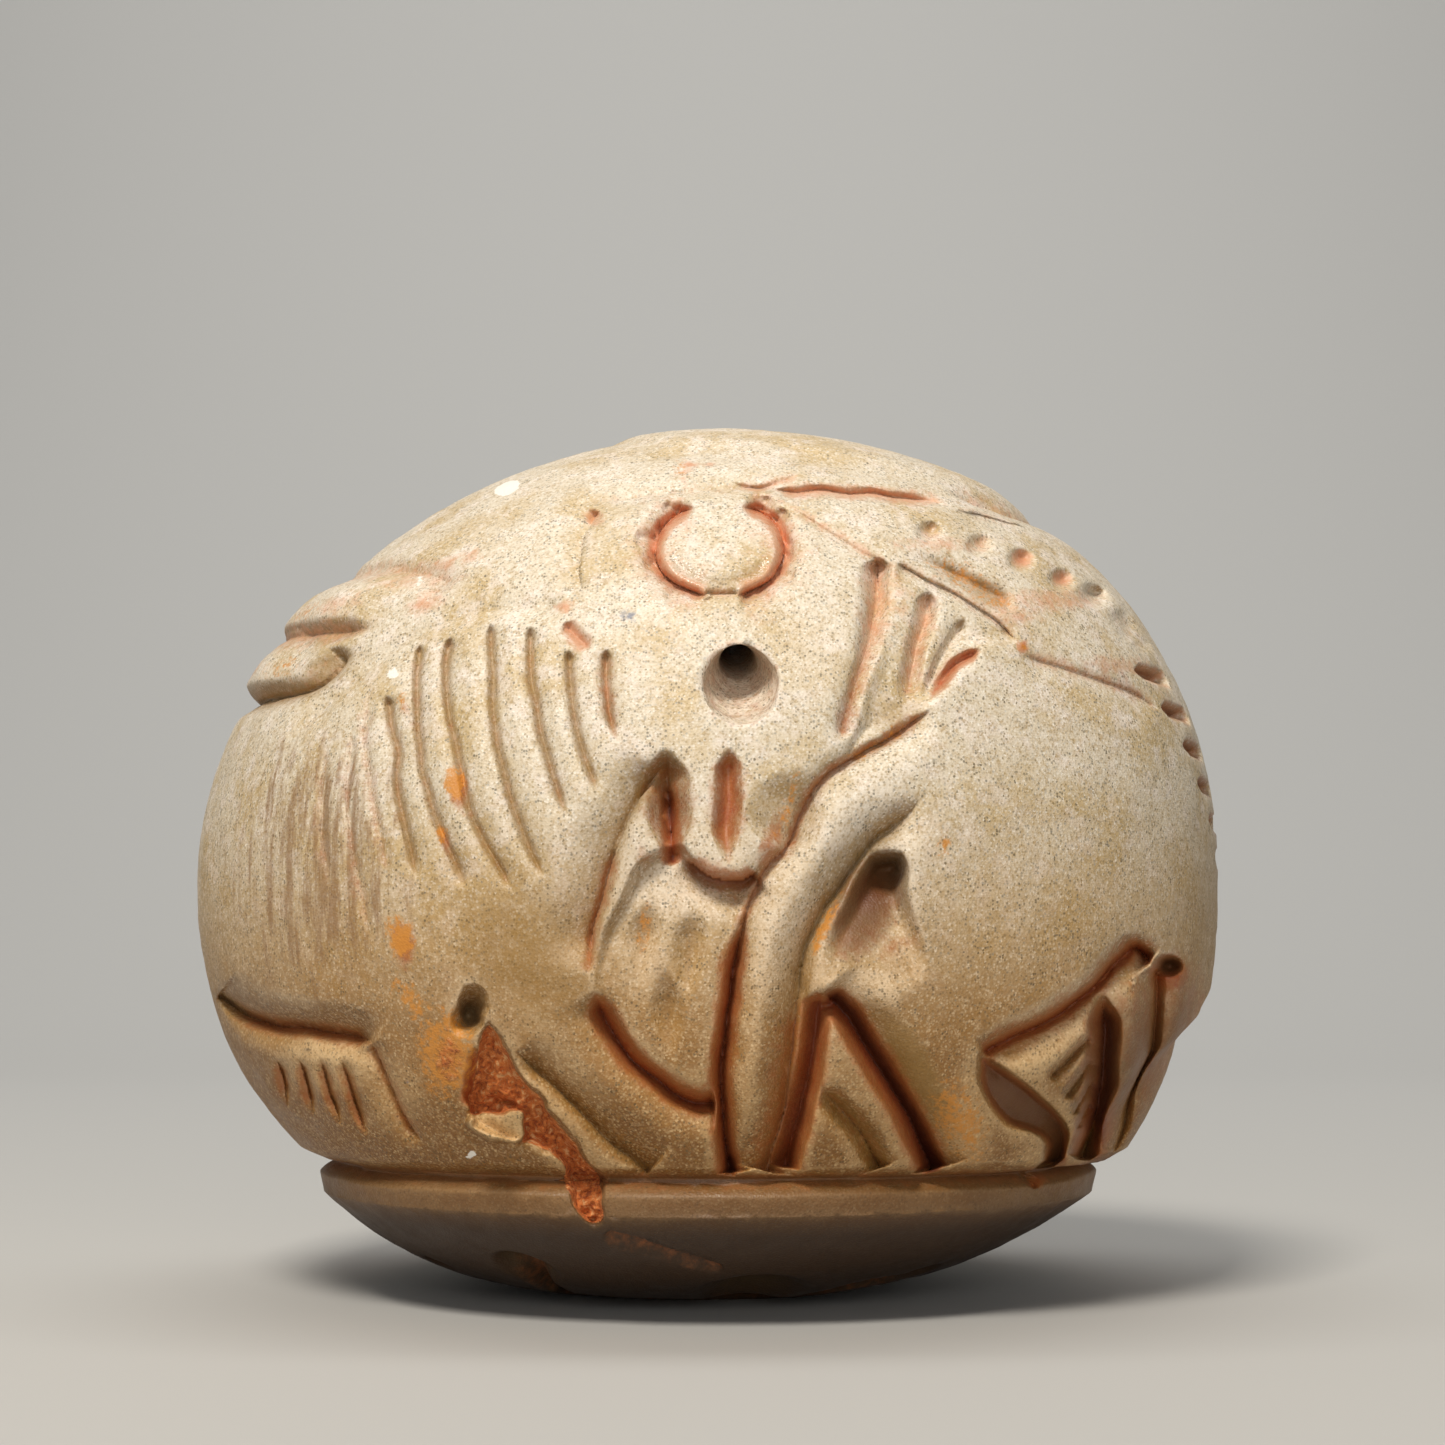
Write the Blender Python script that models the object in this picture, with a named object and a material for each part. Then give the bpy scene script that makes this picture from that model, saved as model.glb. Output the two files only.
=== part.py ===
"""A pebble-shaped stone bead, carved all round as a crouching animal above an engraved seal face.

The bead rests on its seal face at z = 0. X runs along it, the head looks towards -Y and +Z is up.
"""

import math

import bmesh
import bpy
import numpy as np

MM = 0.001

# Overall sizes
LENGTH = 40.2 * MM
DEPTH = 35.0 * MM
HEIGHT = 33.6 * MM
WAIST = 16.2 * MM
BELLY = 16.2 * MM

# Base below the ground line
GROUND_LINE = 5.1 * MM
RIM_HEIGHT = 1.2 * MM
RIM_LENGTH = 30.6 * MM
RIM_DEPTH = 28.6 * MM
RIM_LIP = 0.25 * MM
GROUND_CUT = 0.55 * MM
GROUND_CUT_DEPTH = 0.6 * MM
FOOT_SHAVE = 0.12 * MM

# Drilled hole
BORE_DIAMETER = 1.3 * MM
BORE_HEIGHT = 21.9 * MM
BORE_SIDE = 1.2 * MM
BORE_RISE = 20.0
BORE_SWING = 2.0
STAGE_DIAMETER = 2.6 * MM
STAGE_DEPTH = 3.0 * MM
MOUTH_DIAMETER = 2.8 * MM
MOUTH_DEPTH = 0.3 * MM
DISH_FLOOR = 0.9
BORE_SIDES = 24
MOUTH_SIDES = 28

# Roundness of the pebble: 2 is an ellipse, less is leaner and more is boxier
CROWN_LEFT = 1.88
CROWN_RIGHT = 2.22
BELLY_LEFT = 2.2
BELLY_RIGHT = 2.45
SEAL_LEFT = 3.5
SEAL_RIGHT = 2.8

# The carver's grid: steps along the bead, across it and up it
STEPS_ALONG = 100.5
STEPS_ACROSS = 87.5
STEPS_UP = 84.0
STEP = LENGTH / STEPS_ALONG
STEP_ACROSS = DEPTH / STEPS_ACROSS
STEP_UP = HEIGHT / STEPS_UP

# Where the carver's eye stands for the front, in steps, and the grid's origin beside the line of sight
EYE_SIDE = 1.45
EYE_DISTANCE = 250.0
EYE_HEIGHT = 29.0
EYE_TILT = math.radians(6.1)
ORIGIN_SIDE = 1.75
ORIGIN_UP = 4.25

# Steps for each degree round the ends of the bead
DEGREE = 0.3

# How squarely a side faces the carver where its carving starts, and where it is full
FRONT_FACING = (0.05, 0.3)
DAMAGE_FACING = (0.1, 0.3)
END_FACING = (0.3, 0.5)
BACK_FACING = (0.15, 0.4)
LEVEL_FACING = (0.4, 0.7)
LEAST_FACING = 0.4

# Shapes of a cut: a knife's, a gouge's and a rounded one
KNIFE, GOUGE, ROUND = range(3)

# The share of its width that a cut keeps where it runs out
THIN_END = 0.4

# Fineness of the first mesh and of the finished one
TURNS = 720
ROWS = 360
WELD = 1e-6
FRONT_CROWDING = 0.35
SEAL_ROWS = 0.15
RIM_ROWS = 0.06
KEPT_TRIANGLES = 9200

STONE_COLOUR = (0.57, 0.46, 0.30, 1.0)
STONE_ROUGHNESS = 0.62


def ease(low, high, value):
    """0 below low, 1 above high and a soft rise between."""
    share = np.clip((value - low) / (high - low), 0.0, 1.0)
    return share * share * (3.0 - 2.0 * share)


def smooth(points, closed=False, pieces=5):
    """A smooth line through a few points."""
    given = np.array(points, dtype=float)
    if len(given) == 2 and not closed:
        return given
    if closed:
        ring = np.vstack((given[-1], given, given[0], given[1]))
    else:
        ring = np.vstack((2 * given[0] - given[1], given, 2 * given[-1] - given[-2]))
    line = []
    for before, start, end, after in zip(ring, ring[1:], ring[2:], ring[3:]):
        for step in range(pieces):
            t = step / pieces
            bend = 2 * before - 5 * start + 4 * end - after
            sway = 3 * (start - end) + after - before
            line.append(start + 0.5 * t * (end - before + t * (bend + t * sway)))
    line.append(ring[-2])
    return np.array(line)


def oval(u, v, across, high, start, end):
    """Points on an oval from one angle to another, in degrees anticlockwise from the right."""
    turns = np.radians(np.linspace(start, end, 9))
    return np.column_stack((u + across * np.cos(turns), v + high * np.sin(turns)))


class Side:
    """One side of the bead as the carver sees it. Sizes are in steps of the grid."""

    def __init__(self, u, v):
        self.u = u
        self.v = v
        self.relief = np.zeros_like(u)

    def near(self, line, reach):
        low = line.min(axis=0) - reach
        high = line.max(axis=0) + reach
        inside_u = (self.u > low[0]) & (self.u < high[0])
        return np.nonzero(inside_u & (self.v > low[1]) & (self.v < high[1]))[0]

    def measure(self, line, reach):
        """Distance to a line, the side of it and the way along it, for the points near it."""
        near = self.near(line, reach)
        points = np.column_stack((self.u[near], self.v[near]))
        nearest = np.full(len(near), np.inf)
        hand = np.zeros(len(near))
        way = np.zeros(len(near))
        gone = 0.0
        for start, end in zip(line, line[1:]):
            edge = end - start
            length = np.hypot(*edge)
            offset = points - start
            share = np.clip(offset @ edge / length ** 2, 0.0, 1.0)
            gap = np.hypot(*(offset - share[:, None] * edge).T)
            closer = gap < nearest
            nearest[closer] = gap[closer]
            hand[closer] = np.sign(edge[0] * offset[:, 1] - edge[1] * offset[:, 0])[closer]
            way[closer] = (gone + share * length)[closer]
            gone += length
        return near, nearest, hand, way, gone

    def cut(self, path, width, depth, left=(0, 1), right=(0, 1), fade=(1.5, 1.5), shape=KNIFE):
        """A groove of this half-width. left and right are the drop and run of the slopes down to it."""
        line = smooth(path)
        near, gap, hand, way, gone = self.measure(line, max(width, left[1], right[1]))
        along = ease(-0.01, fade[0], way) * ease(-0.01, fade[1], gone - way)
        share = np.clip(gap / (width * (THIN_END + (1 - THIN_END) * along)), 0.0, 1.0)
        groove = depth * ((1 - share) ** 1.4, (1 - share ** 2) ** 2, 1 - share ** 2)[shape]
        for (drop, run), sign in ((left, 1), (right, -1)):
            slope = np.clip(1 - gap / run, 0.0, 1.0) ** 2
            groove += np.where(hand * sign > 0, drop * slope, 0.0)
        self.relief[near] -= groove * along

    def sink(self, outline, top, bottom, wall, bend=1.0):
        """A sunk field in a closed outline. Its depth goes from top to bottom, later with more bend."""
        line = smooth(outline, closed=True)
        near, gap, _, _, _ = self.measure(line, 0.1)
        u, v = self.u[near], self.v[near]
        inside = np.zeros(len(near), dtype=bool)
        for (u0, v0), (u1, v1) in zip(line, line[1:]):
            crosses = (v0 > v) != (v1 > v)
            if v0 != v1:
                inside ^= crosses & (u < u0 + (v - v0) * (u1 - u0) / (v1 - v0))
        low, high = line[:, 1].min(), line[:, 1].max()
        depth = bottom + (top - bottom) * np.clip((v - low) / (high - low), 0.0, 1.0) ** bend
        self.relief[near] -= np.where(inside, depth * ease(0.0, wall, gap), 0.0)

    def pit(self, u, v, across, high, depth):
        """A round or oval pit. A negative depth is a bump."""
        square = ((self.u - u) / across) ** 2 + ((self.v - v) / high) ** 2
        self.relief -= depth * np.clip(1 - square, 0.0, 1.0) ** 2


def pebble(turn, rise):
    """The uncarved bead. turn is the angle round it, rise goes from 0 underneath to 1 on top."""
    cosine, sine = np.cos(turn), np.sin(turn)
    crown = (CROWN_RIGHT + CROWN_LEFT) / 2 + (CROWN_RIGHT - CROWN_LEFT) / 2 * cosine
    belly = (BELLY_RIGHT + BELLY_LEFT) / 2 + (BELLY_RIGHT - BELLY_LEFT) / 2 * cosine
    seal = (SEAL_RIGHT + SEAL_LEFT) / 2 + (SEAL_RIGHT - SEAL_LEFT) / 2 * cosine
    start = -np.arcsin(((WAIST - GROUND_LINE) / BELLY) ** (belly / 2))
    climb = np.clip((rise - SEAL_ROWS - RIM_ROWS) / (1 - SEAL_ROWS - RIM_ROWS), 0.0, 1.0)
    latitude = start + climb * (math.pi / 2 - start)
    power = np.where(latitude > 0, 2 / crown, 2 / belly)
    reach = np.where(latitude > 0, HEIGHT - WAIST, BELLY)
    girth = np.cos(latitude).clip(0.0) ** power
    body_z = WAIST + np.sign(latitude) * reach * np.abs(np.sin(latitude)) ** power
    up_rim = np.clip((rise - SEAL_ROWS) / RIM_ROWS, 0.0, 1.0)
    across_seal = np.clip(rise / SEAL_ROWS, 0.0, 1.0)
    arris = GROUND_LINE - RIM_HEIGHT
    lip = RIM_LIP * np.sin(math.pi * (0.15 + 0.7 * up_rim))
    seal_z = -FOOT_SHAVE + (arris + FOOT_SHAVE) * across_seal ** seal
    base_z = np.where(rise < SEAL_ROWS, seal_z, arris + RIM_HEIGHT * up_rim)
    base_length = across_seal * (RIM_LENGTH / 2 - RIM_LIP) + lip * up_rim
    base_depth = across_seal * (RIM_DEPTH / 2 - RIM_LIP) + lip * up_rim
    in_body = rise > SEAL_ROWS + RIM_ROWS
    half_length = np.where(in_body, girth * LENGTH / 2, base_length)
    half_depth = np.where(in_body, girth * DEPTH / 2, base_depth)
    return np.column_stack((half_length * cosine, half_depth * sine, np.where(in_body, body_z, base_z)))


def carve_head(front):
    """The head looks out of the front, with its muzzle down and the bore through its brow."""
    edge = [(13.8, 12.4), (13.9, 8.0), (13.0, 3.5), (11.8, -0.2), (10.8, -3.6), (10.1, -6.2)]
    front.cut(edge, 0.9, 0.7, left=(0.4, 1.4), right=(1.0, 2.6), fade=(1.5, 1.5), shape=GOUGE)
    front.cut(edge[:4], 1.5, 0.7, fade=(1.2, 6.0), shape=GOUGE)
    brow_corner = [(3.6, 18.0), (6.1, 16.7), (9.0, 14.8), (11.2, 13.4), (13.8, 12.2), (15.8, 11.8)]
    front.cut(brow_corner, 0.5, 0.15, left=(0.4, 2.0), right=(0.6, 2.6), fade=(4.0, 1.5))
    left_edge = [(-14.0, 17.0), (-15.5, 14.5), (-16.1, 11.5), (-15.8, 8.5)]
    front.cut(left_edge, 0.9, 0.1, right=(0.7, 4.5), fade=(0.8, 2.0))
    front.cut([(-13.9, 17.2), (-15.2, 15.4)], 0.8, 0.4, fade=(0.7, 0.9))
    temple_cut = [(-17.6, 5.9), (-16.4, 4.5), (-14.9, 3.0)]
    front.cut(temple_cut, 0.9, 0.8, fade=(0.8, 1.0))
    for start, end in ((112, 262), (-78, 72)):
        arc = oval(-2.0, 13.1, 6.4, 4.6, start, end)
        front.cut(arc, 0.7, 0.6, left=(0.6, 0.9), right=(1.6, 2.7), fade=(1.6, 1.6))
    front.cut(oval(-2.0, 13.1, 6.2, 4.5, 255, 289), 0.7, 0.4, left=(0.8, 1.4), fade=(0.6, 0.6))
    front.cut(oval(-2.0, 13.3, 5.0, 3.5, 190, 350), 0.9, 0.3, fade=(2.0, 2.0), shape=GOUGE)
    left_slit = [(-7.2, -6.6), (-7.3, -9.7), (-7.0, -13.5), (-6.7, -18.6)]
    front.cut(left_slit, 2.0, 2.6, left=(0.4, 1.2), right=(1.4, 4.0), fade=(3.4, 5.5), shape=GOUGE)
    front.cut(left_slit[1:], 0.8, 1.2, fade=(2.5, 0.5))
    right_slit = [(-1.1, -6.6), (-1.1, -9.5), (-1.3, -14.5), (-1.3, -18.8)]
    front.cut(right_slit, 1.25, 1.7, fade=(2.6, 4.5), shape=GOUGE)
    cheek = [(6.9, -8.4), (5.0, -12.4), (3.2, -16.8)]
    front.cut(cheek, 3.4, 1.2, fade=(5.0, 2.0), shape=GOUGE)
    front.cut([(-10.0, -0.1), (-10.2, -3.0)], 0.4, 0.15)


def carve_beard(front):
    """The beard below the muzzle starts deep under the chin and swells out towards its tip."""
    recess = [(-5.8, -16.2), (-4.2, -18.0), (-2.7, -19.3), (-1.0, -19.5), (0.8, -19.1), (2.5, -18.5),
              (1.5, -20.8), (0.6, -22.7), (-0.6, -28.1), (-1.6, -34.0), (-2.1, -38.3), (-2.2, -41.8),
              (-4.2, -42.2), (-6.2, -41.6), (-8.4, -39.8), (-10.6, -38.2), (-12.4, -36.0), (-13.7, -33.6),
              (-14.9, -30.6), (-14.8, -27.5), (-13.8, -24.7), (-12.3, -21.8), (-10.7, -18.5), (-8.8, -17.0)]
    front.sink(recess, 2.2, 0.5, 1.4, bend=2.0)
    bank = [(-7.6, -8.5), (-10.0, -12.0), (-12.2, -16.5), (-13.4, -20.5), (-14.6, -25.0), (-15.1, -29.5)]
    front.cut(bank, 0.6, 0.1, right=(2.6, 6.5), left=(0.8, 1.6), fade=(3.5, 4.0))
    front.cut(bank[2:], 0.6, 0.5, fade=(2.0, 0.8))
    for top, foot in (((-8.9, -21.5), (-10.4, -31.0)), ((-4.4, -22.0), (-5.6, -33.0)),
                      ((-7.6, -28.5), (-6.8, -39.0))):
        front.cut([top, foot], 1.6, 0.7, fade=(4.0, 6.0), shape=GOUGE)
    chin_shade = [(-6.2, -17.4), (-4.2, -18.8), (-2.5, -19.8), (0.0, -19.9), (1.8, -19.0)]
    front.cut(chin_shade, 0.9, 0.6, right=(2.8, 4.5), fade=(2.6, 0.8))
    front.cut([(-2.6, -20.6), (-0.4, -22.0), (1.2, -23.0)], 0.6, 0.4)


def carve_right_limb(front):
    """The foreleg comes down from the haunch past the muzzle to the ground line."""
    inner_edge = [(19.6, -2.4), (17.0, -4.3), (14.7, -5.8), (10.5, -8.2), (8.4, -9.6), (6.7, -12.0),
                  (4.6, -16.6), (2.7, -18.5), (1.5, -20.8), (0.6, -22.7), (-0.6, -28.1), (-1.4, -34.0),
                  (-1.9, -38.3), (-1.9, -42.3), (-1.7, -45.0), (-1.0, -49.5)]
    front.cut(inner_edge, 0.6, 0.5, left=(1.8, 4.0), right=(0.9, 2.5), fade=(3.5, 0.3))
    front.cut(inner_edge[1:4], 0.8, 0.3, fade=(1.5, 1.5))
    front.cut(inner_edge[9:], 1.0, 1.2, left=(0.8, 2.5), right=(0.6, 1.5), fade=(6.0, 0.3))
    outer_edge = [(19.0, -11.2), (17.8, -12.2), (16.5, -13.8), (14.2, -15.6), (12.0, -18.0), (10.3, -20.5),
                  (8.8, -22.4), (7.5, -25.0), (6.3, -27.9), (5.8, -32.3), (5.4, -35.7), (4.9, -39.5),
                  (4.5, -43.2), (3.3, -47.0), (2.8, -49.2)]
    front.cut(outer_edge, 0.8, 0.5, left=(2.2, 4.0), right=(2.8, 4.4), fade=(7.0, 0.3))
    front.cut([(-1.0, -47.2), (-0.9, -49.8)], 0.6, 1.0, fade=(0.8, 0.1))


def carve_hollow(front):
    """The hollow between the foreleg and the haunch, and the folded shank below it."""
    bowl = [(12.7, -17.3), (14.2, -16.9), (16.2, -16.9), (16.9, -18.2), (17.2, -21.5), (18.4, -25.0),
            (19.2, -28.5), (18.0, -31.0), (14.0, -32.0), (9.8, -31.4), (7.6, -30.0), (8.2, -26.0),
            (9.8, -22.6), (11.2, -19.6)]
    front.sink(bowl, 6.2, 0.0, 2.1, bend=1.5)
    front.pit(14.8, -19.2, 2.6, 2.6, 1.6)
    left_notch = [(8.0, -30.9), (7.5, -34.6), (6.9, -38.4), (6.1, -41.8), (5.2, -45.7), (4.3, -48.8)]
    front.cut(left_notch, 1.4, 2.5, left=(0.8, 2.2), right=(0.5, 1.5), fade=(1.6, 0.3), shape=GOUGE)
    right_notch = [(8.3, -31.0), (10.8, -33.8), (12.7, -36.9), (14.6, -39.9), (16.5, -43.2),
                   (18.1, -46.4), (19.2, -49.3)]
    front.cut(right_notch, 1.3, 2.9, left=(3.4, 5.4), right=(0.6, 2.0), fade=(1.6, 0.3), shape=GOUGE)
    inner_notch = [(7.9, -40.3), (9.6, -42.4), (11.6, -44.5), (12.9, -46.4), (14.2, -49.0)]
    front.cut(inner_notch, 1.2, 1.1, left=(0.8, 2.2), right=(1.6, 3.0), fade=(2.5, 0.3))


def carve_haunch(front):
    """The haunch is a smooth swell, edged by the mane above and the tail below."""
    top_edge = [(27.8, 3.1), (30.5, 2.0), (33.4, 1.0), (36.4, -0.1), (39.6, -1.4), (42.5, -3.5)]
    front.cut(top_edge, 0.6, 0.25, right=(1.2, 4.5), left=(0.5, 1.8), fade=(1.5, 3.0))
    tail_edge = [(24.0, -37.4), (26.6, -36.1), (30.4, -34.3), (33.4, -32.4), (35.9, -30.3), (37.9, -28.2),
                 (39.5, -26.8), (41.2, -28.4)]
    front.cut(tail_edge, 0.7, 0.9, left=(1.8, 2.0), right=(2.3, 4.2), fade=(0.8, 0.8))
    recess = [(23.9, -37.2), (23.7, -39.6), (24.4, -42.2), (26.4, -44.6), (29.0, -45.6), (30.2, -46.6),
              (30.0, -49.4), (32.6, -49.4), (33.2, -45.8), (32.4, -43.6), (30.2, -41.4), (28.0, -39.6),
              (25.8, -38.2)]
    front.sink(recess, 3.0, 2.4, 1.1)
    for outer, inner in (((30.8, -40.0), (35.2, -35.6)), ((32.5, -41.9), (35.3, -37.9)),
                         ((33.3, -43.6), (35.3, -40.2)), ((33.7, -45.2), (35.1, -42.4))):
        front.cut([outer, inner], 0.6, 0.5, left=(0.2, 0.8), right=(1.3, 1.9), fade=(0.8, 0.6))
    split = [(36.3, -31.0), (36.5, -34.6), (36.3, -38.8), (35.8, -43.0), (34.9, -48.2)]
    front.cut(split, 1.5, 2.9, left=(1.8, 3.4), right=(0.5, 0.9), fade=(3.5, 0.4), shape=GOUGE)
    lobe_edge = [(41.6, -28.6), (41.9, -31.5), (41.6, -35.5), (40.7, -40.1), (39.7, -44.3), (38.0, -47.6)]
    front.cut(lobe_edge, 0.6, 0.7, left=(1.6, 2.4), right=(1.8, 2.8), fade=(0.8, 1.0))
    front.pit(42.9, -28.6, 1.8, 1.3, 2.4)


def carve_mane(front):
    """A fluted mane runs back from the brow, between two long cuts, and its locks hang beside the head."""
    brow_line = [(-18.0, 17.5), (-14.0, 18.0), (-9.0, 18.6), (-4.0, 19.0), (1.0, 19.2), (6.0, 18.8)]
    front.cut(brow_line, 0.6, 0.1, left=(0.7, 3.0), right=(0.4, 2.5), fade=(5.0, 3.0))
    roll_back = [(-14.0, 21.2), (-9.0, 22.2), (-4.0, 22.8), (1.0, 23.0), (6.0, 22.5), (12.0, 21.0)]
    front.cut(roll_back, 0.8, 0.1, left=(0.3, 2.0), right=(0.2, 2.0), fade=(6.0, 6.0))
    long_cut = [(3.0, 19.1), (6.0, 18.9), (9.0, 19.0), (12.0, 18.8), (16.0, 18.4), (19.0, 18.0),
                (21.5, 17.3)]
    front.cut(long_cut, 0.6, 0.7, left=(0.7, 1.5), right=(0.3, 2.0), fade=(2.0, 2.0))
    front.cut([(-1.0, 19.9), (1.5, 19.1), (4.0, 19.9), (6.4, 20.5)], 0.4, 0.25)
    shoulder_step = [(20.5, 17.5), (24.5, 16.6), (27.5, 15.8), (30.0, 14.6)]
    front.cut(shoulder_step, 0.5, 0.0, left=(0.2, 1.5), right=(0.6, 4.0), fade=(3.0, 4.5))
    lock_field = [(13.4, 12.4), (16.0, 11.4), (19.0, 9.8), (23.0, 7.4), (26.6, 4.4), (24.5, 2.6),
                  (21.0, -1.0), (18.5, -3.8), (14.5, -6.2), (10.4, -7.8), (11.2, -2.0), (12.8, 4.0)]
    front.sink(lock_field, 0.2, 1.7, 2.6)
    lower_line = [(15.8, 11.8), (18.0, 10.5), (21.0, 9.0), (25.4, 6.4), (27.9, 3.8)]
    front.cut(lower_line, 0.5, 0.2, right=(0.9, 2.5), left=(0.3, 1.0), fade=(1.0, 1.5))
    upper_line = [(16.5, 12.6), (18.8, 12.0), (21.0, 11.0), (23.0, 9.8), (25.5, 8.3), (27.5, 6.7)]
    front.cut(upper_line, 1.2, 0.6, left=(0.8, 3.0), fade=(6.0, 2.0))
    for u, v in ((19.0, 15.0), (24.0, 13.6), (28.2, 12.1), (32.2, 10.1), (35.8, 8.3), (38.6, 6.2),
                 (40.6, 3.8), (35.3, 8.8), (39.3, 5.0)):
        front.pit(u, v, 1.7, 1.4, 0.9)
    for path, width, depth in (
            ([(18.9, 9.2), (18.3, 5.5), (17.4, 2.0), (16.4, -2.6)], 1.1, 0.9),
            ([(22.6, 6.4), (21.0, 3.6), (19.4, 0.4), (18.2, -2.4)], 0.6, 0.4),
            ([(24.3, 3.2), (22.0, 1.8), (20.6, 0.4), (18.8, -2.2)], 0.6, 0.9)):
        front.cut(path, width, depth, left=(0.5, 1.8), right=(0.5, 1.8), fade=(1.6, 2.5), shape=GOUGE)


def carve_fleece(front):
    """Fine cuts fan down the shoulder, below a stepped edge."""
    strands = (
        [(-35.4, -1.4), (-34.9, -4.5), (-34.2, -7.5), (-34.3, -10.8), (-33.6, -14.0), (-32.3, -20.1)],
        [(-31.9, 3.8), (-32.4, 0.0), (-32.3, -4.9), (-31.3, -11.0), (-29.5, -16.2), (-27.3, -21.2)],
        [(-29.0, 4.6), (-29.4, 1.2), (-29.3, -2.1), (-28.4, -7.5), (-26.7, -14.0), (-22.6, -21.4)],
        [(-24.9, 5.7), (-24.8, 1.6), (-24.8, -2.1), (-23.9, -8.1), (-22.1, -14.5), (-19.5, -20.1)],
        [(-20.9, 5.5), (-21.0, 1.6), (-20.6, -1.9), (-19.3, -8.0), (-17.4, -14.0)],
        [(-17.3, 3.3), (-16.9, -1.0), (-16.5, -4.0), (-15.8, -7.1), (-14.1, -11.6)],
        [(-13.5, 3.3), (-13.3, -1.0), (-12.8, -4.3), (-12.2, -6.4)],
    )
    for path in strands:
        front.cut(path, 0.8, 0.4, left=(0.6, 2.4), right=(0.5, 2.2), fade=(3.0, 5.0), shape=GOUGE)
    front.cut(strands[-1], 1.3, 0.3, fade=(1.5, 3.0), shape=GOUGE)
    for path in ([(-37.2, -0.6), (-37.6, -6.4), (-36.7, -13.3), (-35.0, -20.5)],
                 [(-38.8, -4.0), (-39.4, -11.0), (-38.6, -18.5), (-36.6, -27.0)],
                 [(-41.5, -6.0), (-42.0, -14.0), (-41.0, -22.0)]):
        front.cut(path, 0.7, 0.25, left=(0.2, 1.4), fade=(3.0, 5.0))
    top_step = [(-45.7, -7.2), (-43.5, -4.8), (-40.5, -2.0), (-37.5, 0.8), (-34.3, 3.3), (-31.7, 4.8),
                (-28.8, 6.1), (-26.2, 6.8), (-22.9, 7.0), (-20.0, 6.9), (-17.4, 7.9)]
    front.cut(top_step, 0.9, 0.05, left=(0.8, 5.0), right=(0.5, 2.4), fade=(6.0, 2.0))


def carve_left_limb(front):
    """The near limb is folded along the ground line, with its paw at the left end."""
    inner_edge = [(-14.7, -31.0), (-13.5, -33.9), (-12.2, -36.1), (-10.4, -38.3), (-8.2, -40.1),
                  (-6.0, -41.7), (-4.2, -42.3), (-2.4, -42.3)]
    front.cut(inner_edge, 1.1, 1.6, right=(2.2, 4.2), left=(1.2, 2.4), fade=(2.5, 0.5), shape=GOUGE)
    lower_edge = [(-22.7, -37.1), (-18.7, -40.8), (-15.4, -44.1), (-13.5, -45.9), (-11.3, -47.7),
                  (-9.0, -49.6)]
    front.cut(lower_edge, 0.8, 0.2, right=(0.9, 2.2), left=(2.0, 4.4), fade=(3.0, 0.5))
    paw_top = [(-52.5, -31.6), (-50.2, -33.2), (-47.4, -34.4), (-42.2, -35.2), (-38.1, -35.9),
               (-36.4, -36.6)]
    front.cut(paw_top, 0.8, 0.9, left=(2.4, 3.6), right=(1.6, 3.4), fade=(0.5, 2.0))
    paw_side = [(-36.8, -36.2), (-35.0, -40.6), (-33.3, -44.0), (-31.5, -46.6)]
    front.cut(paw_side, 0.6, 0.3, right=(1.2, 3.0), left=(0.4, 2.0), fade=(1.0, 2.5))
    for toe in range(4):
        start = -46.4 + 2.1 * toe
        front.cut([(start, -37.8), (start + 1.2 + 0.5 * toe, -43.2 - 0.9 * toe)], 0.7, 0.5, left=(0.6, 1.6),
                  fade=(1.5, 3.0), shape=GOUGE)


def break_front(front):
    """Old damage: a broken hollow over the ground line, a deep pit above it and a chip in the rim."""
    hollow = [(-26.2, -35.4), (-24.8, -34.2), (-21.4, -39.6), (-17.9, -44.1), (-15.4, -47.6), (-13.8, -50.0),
              (-13.4, -54.2), (-15.6, -54.4), (-17.9, -50.5), (-18.0, -48.3), (-21.4, -46.8), (-24.0, -46.6),
              (-27.2, -44.4), (-27.0, -40.0)]
    front.sink(hollow, 1.8, 1.6, 1.0)
    front.pit(-26.7, -32.6, 1.7, 2.5, 3.2)
    front.pit(-27.4, -34.0, 1.9, 1.9, 2.2)
    chip = [(-27.3, -44.8), (-27.2, -43.4), (-26.4, -43.1), (-22.4, -42.9), (-21.5, -43.3), (-21.3, -45.8),
            (-22.4, -46.6), (-24.6, -46.5)]
    front.sink(chip, -1.9, -1.6, 0.5)
    front.cut([(-25.6, -42.4), (-22.2, -42.2)], 0.7, 1.2, fade=(0.4, 0.4))
    front.cut([(-26.6, -36.5), (-26.9, -43.3)], 0.8, 1.2)
    front.cut([(29.7, -49.4), (29.4, -51.0)], 0.6, 0.9, fade=(0.3, 0.4))


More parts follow.
